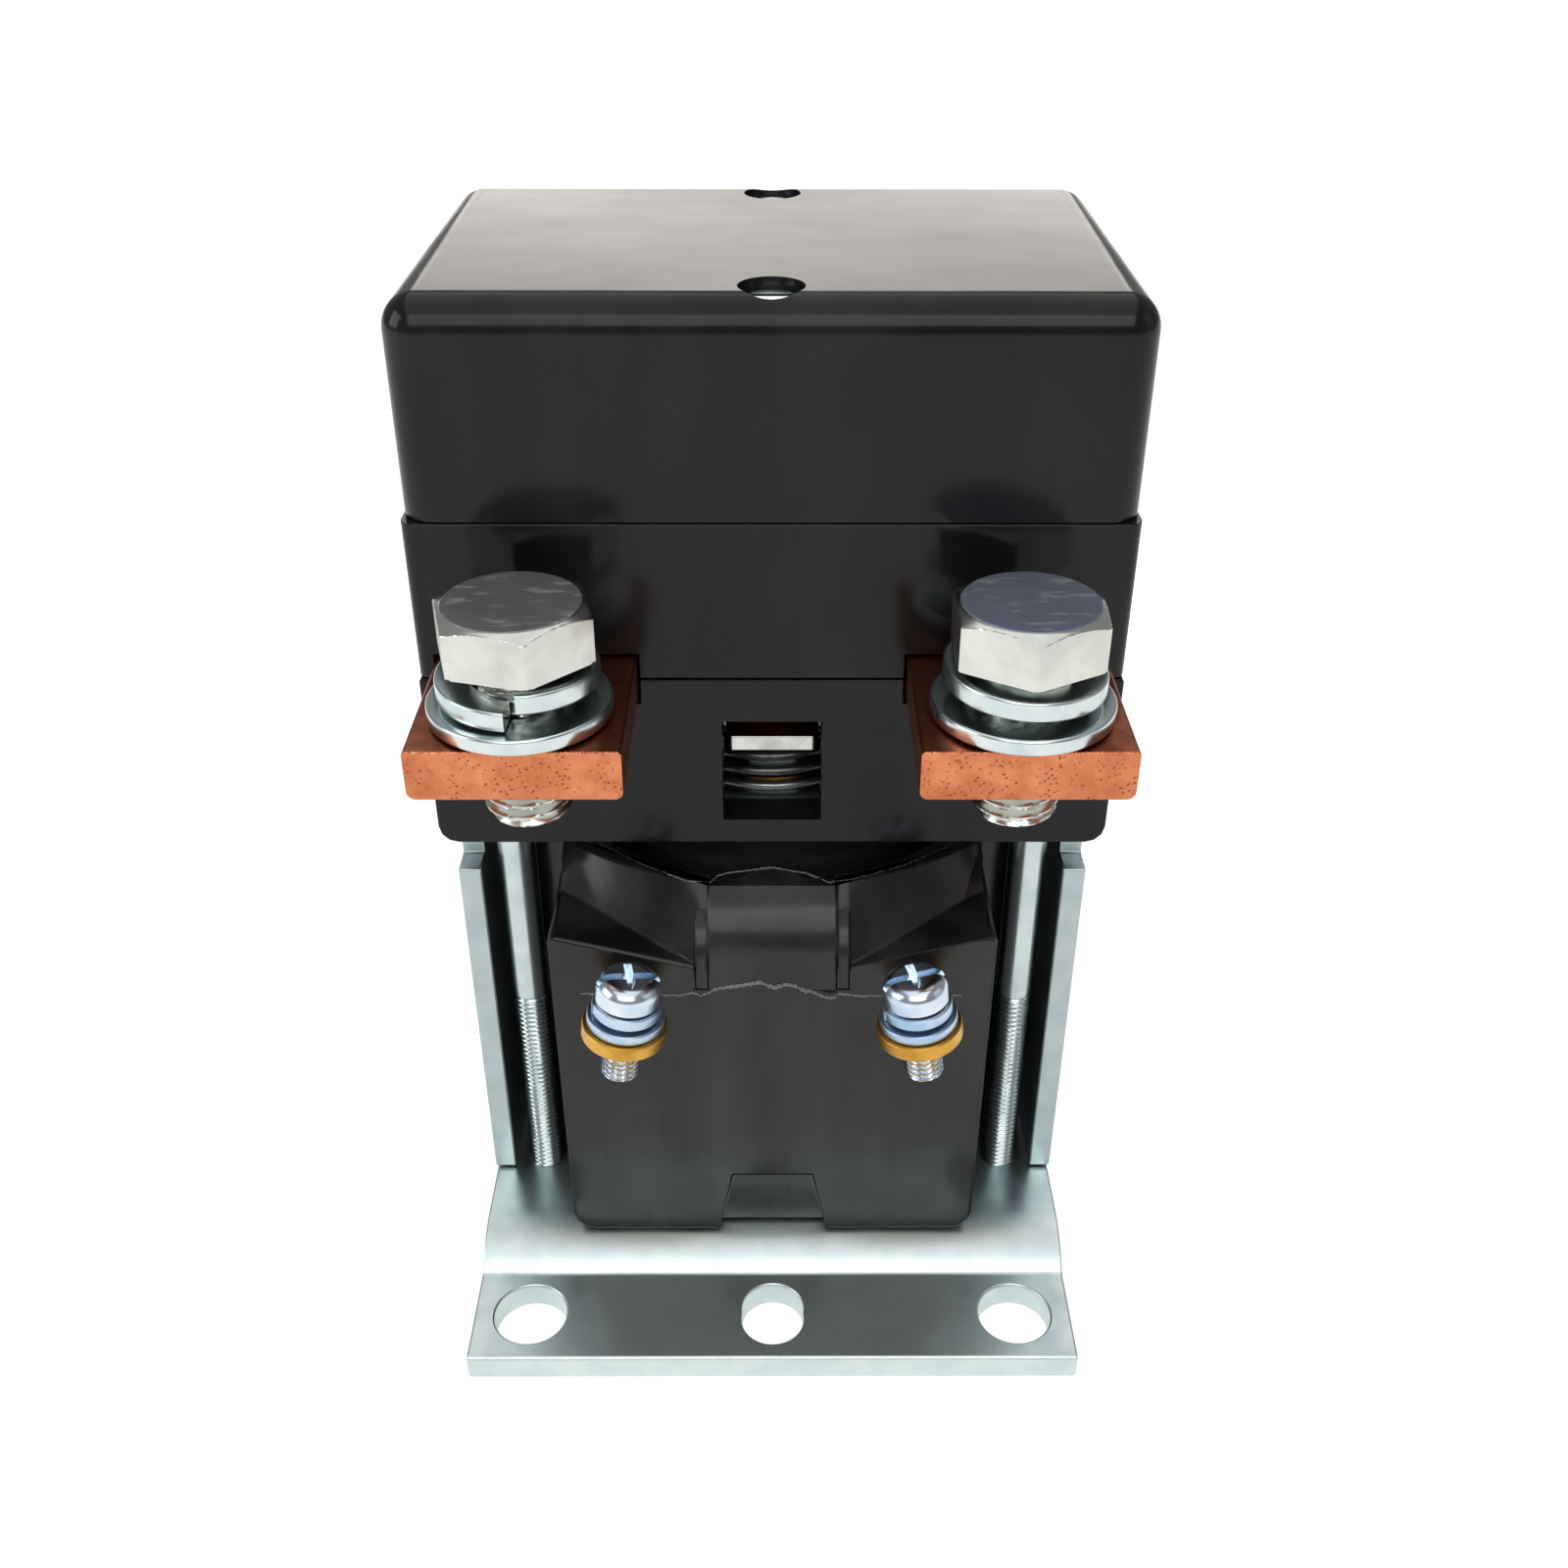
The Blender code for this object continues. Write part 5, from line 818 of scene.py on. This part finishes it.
# %% Coil screws and their washers
TAB_REACH, TAB_END, TAB_NECK, TAB_THICK, TAB_HOLE = 8.2 * MM, 5.3 * MM, 3.6 * MM, 2.0 * MM, 2.7 * MM
turn = np.radians(np.linspace(-220, 40, 40))
round_end = TAB_END * np.stack([np.cos(turn), np.sin(turn)], axis=-1)
neck = [(TAB_NECK, 5.0 * MM), (TAB_NECK, 12.0 * MM), (-TAB_NECK, 12.0 * MM), (-TAB_NECK, 5.0 * MM)]
tab_outline = np.concatenate([round_end, neck])
seat, top, end = 5.7 * MM, 9.1 * MM, -6.3 * MM
for side, sign in (("left", -1), ("right", 1)):
    lean = tab_frame(sign) @ Matrix.Translation((0, -TAB_REACH, 0))
    plate = [np.column_stack([tab_outline, np.full(len(tab_outline), z)]) for z in (0.0, TAB_THICK)]
    tab_mesh = grid_mesh("tab", np.stack(plate), round_columns=True)
    tab_mesh = drill(tab_mesh, (0.0, 0.0), TAB_HOLE, -MM, 3 * MM, 40)
    tab_mesh.transform(lean)
    break_edges(make_piece(tab_mesh, "coil_tab_" + side, brass), 0.25, 3, 50)
    flat = ring_section(2.7 * MM, 4.8 * MM, 2.1 * MM, 3.4 * MM, 0.2 * MM)
    mesh = lathe(flat, columns=56, closed=True, turn=lean)
    make_piece(mesh, "coil_flat_washer_" + side, blue_zinc, sharp=40)
    section = ring_section(2.9 * MM, 4.3 * MM, 3.5 * MM, 5.0 * MM, 0.15 * MM)
    mesh = split_washer(section, 0.6 * MM, 200, lean, 56)
    make_piece(mesh, "coil_spring_washer_" + side, blue_zinc, sharp=40)
    dome = [(r, z, 0, 0) for r, z in fillet((2.2 * MM, top - 1.8 * MM), 1.8 * MM, 90, 0, 10)]
    under = [(4.0 * MM, seat + 0.2 * MM, 0, 0), (3.8 * MM, seat, 0, 0), (2.4 * MM, seat, 0, 0)]
    thread = thread_rows(2.4 * MM, seat - 0.5 * MM, end, PITCH, GROOVE, CHAMFER)
    rows = [(0, top, 0, 0)] + dome + under + thread + [(0, end, 0, 0)]
    mesh = screw_mesh(rows, 48, PITCH)
    mesh = carve(mesh, box_mesh((-5 * MM, -0.55 * MM, top - 1.3 * MM), (5 * MM, 0.55 * MM, top + MM)))
    mesh = carve(mesh, box_mesh((-0.5 * MM, -2.3 * MM, top - 1.5 * MM), (0.5 * MM, 2.3 * MM, top + MM)))
    mesh.transform(lean @ Matrix.Rotation(math.radians(12), 4, "Z"))
    make_piece(mesh, "coil_screw_" + side, pan_zinc, sharp=35)
print("coil terminals lean by", round(math.degrees(TAB_LEAN), 1), "degrees")

# %% [markdown]
# ## Flash line, burrs and tape
#
# Where the two halves of the coil's mould met, a ragged fin of compound is left across the front. It climbs
# over the boss in the middle. It is a thin tube along a line of points, and its radius and place waver by
# seeded noise, so that it breaks into glints. Its pale colour is partly a painted glint. A second pale tube
# runs along the top rim of the coil: a worn edge, painted pale as a highlight line. The saw leaves the same
# kind of burr on the upper edge of each copper bar, in a paler copper that is partly a painted highlight.
# Inside, the winding is wrapped in black tape before it is cast in, which is a plain ring in the thin space
# round the wire.

# %% Flash line, burrs and winding tape
def add_tube(name, line, radius, material, node):
    """A tube: the (x, y, z) line plus its local radius times cosine along y and sine along z."""
    around = np.linspace(0, 2 * math.pi, 7, endpoint=False)
    ring = np.stack([0 * around, np.cos(around), np.sin(around)], axis=-1)
    path = np.stack(np.broadcast_arrays(*line), axis=-1)
    mesh = grid_mesh(name, path[:, None, :] + radius[:, None, None] * ring, round_columns=True)
    return add_detail(mesh, name, material, node)


COIL_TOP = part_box("coil_moulding")[1].z
BOSS_FACE, BOSS_HALF = -37.6 * MM, 8.2 * MM
FLASH = np.array([(-24.5, 50.6), (-22.5, 50.7), (-17.0, 50.7), (-11.9, 50.3), (-10.2, 50.9), (-9.0, 50.2),
                  (-7.4, 51.9), (-3.6, 52.5), (-1.4, 52.8), (0.4, 52.2), (1.6, 52.7), (4.2, 51.8),
                  (7.0, 50.4), (8.6, 50.5), (11.5, 50.2), (17.0, 50.3), (24.3, 50.3)]) * MM
RIM = np.array([(-24.3, -20.8), (-20.1, -24.6), (-16.1, -27.7), (-10.9, -30.8), (-7.8, -31.2), (-7.0, -29.7),
                (-5.4, -29.0), (0.2, -27.9), (4.6, -29.3), (5.8, -30.1), (7.1, -31.2), (10.2, -30.6),
                (16.6, -27.7), (21.0, -24.6), (26.0, -20.8)]) * MM
wobble = np.random.default_rng(7)
STEPS = 420
smooth = np.convolve(wobble.normal(size=STEPS + 8), np.ones(9) / 9, "valid")
fine = wobble.normal(size=STEPS)
across = np.linspace(FLASH[0, 0], FLASH[-1, 0], STEPS)
height = np.interp(across, FLASH[:, 0], FLASH[:, 1]) + (0.22 * smooth + 0.05 * fine) * MM
face_y = np.where(np.abs(across) < BOSS_HALF, BOSS_FACE, COIL_FACE)
central = np.exp(-(across / (9 * MM)) ** 2)
radius = (0.09 + 0.16 * central + 0.10 * np.abs(smooth) + 0.05 * np.abs(fine)) * MM
flash = add_tube("flash_line", (across, face_y, height), radius, torn_edge_and_glint, "coil_moulding")
# A pale tube along the top rim of the coil: a worn edge, and a painted highlight line.
across = np.linspace(RIM[0, 0], RIM[-1, 0], STEPS)
rim_y = np.interp(across, RIM[:, 0], RIM[:, 1]) + (0.10 * smooth + 0.04 * fine) * MM
radius = (0.09 + 0.05 * np.abs(smooth) + 0.03 * np.abs(fine)) * MM
add_tube("rim_edge_and_highlight", (across, rim_y, COIL_TOP - 0.10 * MM), radius, torn_edge_and_glint, "coil_moulding")
for side in ("left", "right"):
    node = "terminal_bar_" + side
    low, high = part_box(node)
    across = np.linspace(low.x + 0.5 * MM, high.x - 0.5 * MM, STEPS)
    burr_y = low.y + (0.10 + 0.03 * fine) * MM
    burr_z = high.z - (0.10 + 0.06 * smooth) * MM
    radius = (0.05 + 0.06 * np.abs(smooth) + 0.05 * np.abs(fine)) * MM
    # The burr's pale copper is partly a painted highlight along the sawn edge.
    add_tube("saw_burr_" + side, (across, burr_y, burr_z), radius, burr_and_glint_copper, node)
low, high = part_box("winding")
tape_in, tape_out = high.x + 0.05 * MM, high.x + 0.30 * MM
tape = [(tape_out, low.z), (tape_out, high.z), (tape_in, high.z), (tape_in, low.z)]
add_detail(lathe(tape, columns=96, closed=True), "winding_tape", nylon, "bobbin")
print("flash line of", len(flash.data.polygons), "faces, winding of radius", round(high.x, 5))

# %% [markdown]
# ## Springs
#
# Through the window the strap of the armature shows, over the turns of a conical return spring. A spring is
# a circle carried along a helix. The circle lies in the plane of the axis and the radius, so each point is
# the helix plus cosine times outwards plus sine times upwards. The first and the last turns lie flat, as on
# a spring with closed ends.

# %% Return spring and contact spring
def spring_grid(foot, head, low, high, wire, turns, columns=16, per_turn=40):
    """Points of a wire along a helix that climbs between two flat end turns."""
    all_turns = turns + 1.5
    share = np.linspace(0, 1, int(per_turn * all_turns))[:, None]
    flat_share = 0.75 / all_turns
    climb = np.clip((share - flat_share) / (1 - 2 * flat_share), 0, 1)
    centre = foot + (head - foot) * climb
    middle = low + wire / 2 + (high - low - wire) * climb
    around = np.linspace(0, 2 * math.pi, columns, endpoint=False)
    radius = centre + wire / 2 * np.cos(around)
    angle = 2 * math.pi * all_turns * share
    return np.stack([
        radius * np.cos(angle), radius * np.sin(angle), middle + wire / 2 * np.sin(around)], axis=-1)


# Each line: solid, foot and head radius, wire, turns.
springs = {}
for node, foot, head, wire, turns in (
        ("return_spring", 16.0, 13.4, 1.4, 3.5), ("contact_spring", 7.2, 7.2, 1.6, 4.0)):
    low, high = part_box(node)
    grid = spring_grid(foot * MM, head * MM, low.z, high.z, wire * MM, turns)
    mesh = grid_mesh("spring", grid, round_columns=True)
    springs[node] = make_piece(mesh, node, spring_steel, sharp=60)
    print(node, len(mesh.polygons), "faces")
low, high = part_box("return_spring")
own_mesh(springs["return_spring"])
low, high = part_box("contact_spring")
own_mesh(springs["contact_spring"])

# %% [markdown]
# ## Floor, light and camera
#
# The photograph has a white ground that runs out to white, and one faint shadow. The floor is a pale
# matt sheet. To the camera it also glows, and in reflections it glows less, so that it reads as white
# while the object still shades it. A soft panel low behind the object gives the sheen on top of the
# cap, one overhead and one above the camera light the bolt heads and the bent sheet, and two at the
# sides, the left one stronger, set the faces of the bolts apart. They sit at a plain level, so that a
# colour renders about as it is written.

# %% Floor and world
def make_floor(glow, mirrored):
    """Matt white that glows by one amount to the camera, and by a lower one in a reflection."""
    material, tree, shader, _ = start_material("studio_floor", "#e6e6e4", 0.9)
    shader.inputs["Specular IOR Level"].default_value = 0.0
    path = put(tree, "LightPath")
    direct = put(tree, "Math", {0: path.outputs["Is Camera Ray"], 1: path.outputs["Is Transmission Ray"]},
                 operation="MAXIMUM")
    direct = put(tree, "Math", {0: direct.outputs[0]}, {1: glow}, operation="MULTIPLY")
    bounced = put(tree, "Math", {0: path.outputs["Is Glossy Ray"]}, {1: mirrored}, operation="MULTIPLY")
    lit = put(tree, "Math", {0: direct.outputs[0], 1: bounced.outputs[0]}, operation="MAXIMUM")
    shader.inputs["Emission Color"].default_value = (1.0, 1.0, 1.0, 1.0)
    tree.links.new(lit.outputs[0], shader.inputs["Emission Strength"])
    return material


REACH = 4.0
floor_mesh = bpy.data.meshes.new("floor")
floor_mesh.from_pydata([(x, y, 0) for x, y in (
    (-REACH, -REACH), (REACH, -REACH), (REACH, REACH), (-REACH, REACH))], [], [(0, 1, 2, 3)])
floor_mesh.materials.append(make_floor(glow=0.72, mirrored=0.42))
add_object("floor", floor_mesh)

WORLD_LIGHT = 0.28
world = bpy.data.worlds.new("studio")
bpy.context.scene.world = world
world.use_nodes = True
sky = world.node_tree
background = sky.nodes["Background"]
rays = put(sky, "LightPath")
strength = spread(sky, rays.outputs["Is Camera Ray"], 0.0, 1.0, WORLD_LIGHT, 1.0)
sky.links.new(strength, background.inputs["Strength"])
background.inputs["Color"].default_value = (1.0, 1.0, 1.0, 1.0)
print("floor and world ready")

# %% Soft panels
def soft_panel(name, location, target, width, height, power, colour="#ffffff"):
    """A rectangular lamp that faces a target, with its sides upright."""
    lamp = bpy.data.lights.new(name, "AREA")
    lamp.shape = "RECTANGLE"
    lamp.size, lamp.size_y, lamp.energy = width, height, power
    lamp.color = linear(colour)[:3]
    turn = (Vector(target) - Vector(location)).to_track_quat("-Z", "Y").to_matrix().to_4x4()
    add_object(name, lamp).matrix_world = Matrix.Translation(location) @ turn


soft_panel("low back panel", (0.0, 1.20, 0.43), (0, 0, 0.136), 0.76, 0.50, 2.15, "#fff8f0")
soft_panel("top panel", (0.0, 0.15, 1.35), (0, 0.151, 0.1), 1.4, 2.7, 10.0)
soft_panel("front panel", (0.0, -1.15, 0.98), (0, 0, 0.08), 1.3, 0.8, 6.6)
soft_panel("left panel", (-1.10, -0.30, 0.55), (0, 0, 0.07), 0.7, 0.7, 4.2)
soft_panel("right panel", (1.10, -0.25, 0.55), (0, 0, 0.07), 0.6, 0.7, 0.5)
print("five soft panels")

# %% [markdown]
# The camera stands where the photographer's stood. Its place, its tilt of 32 degrees and its focal
# length come from a fit of the object's known lines to the photograph, so the columns of its matrix
# are written from those angles: right, up, and the way back from the subject.

# %% Camera
TILT, ROLL, YAW = math.radians(32.10), math.radians(-0.17), math.radians(0.32)
IMAGE_WIDTH = 1600
FOCAL_PIXELS = 1646.1
forward = np.array([
    math.sin(YAW) * math.cos(TILT), math.cos(YAW) * math.cos(TILT), -math.sin(TILT)])
level = np.array([math.cos(YAW), -math.sin(YAW), 0.0])
down = np.cross(forward, level)
right = math.cos(ROLL) * level + math.sin(ROLL) * down
down = -math.sin(ROLL) * level + math.cos(ROLL) * down
pose = np.eye(4)
pose[:3, 0], pose[:3, 1], pose[:3, 2] = right, -down, -forward
pose[:3, 3] = (0.52 * MM, -197.47 * MM, 182.84 * MM)
lens = bpy.data.cameras.new("view")
lens.sensor_width = 36.0
lens.lens = lens.sensor_width * FOCAL_PIXELS / IMAGE_WIDTH
lens.clip_start = 0.01
camera = add_object("view", lens)
camera.matrix_world = Matrix(pose.tolist())
bpy.context.scene.camera = camera
bpy.context.scene.view_settings.view_transform = "Standard"
print("lens", round(lens.lens, 2), "mm")

# %% Update the scene
bpy.context.view_layer.update()
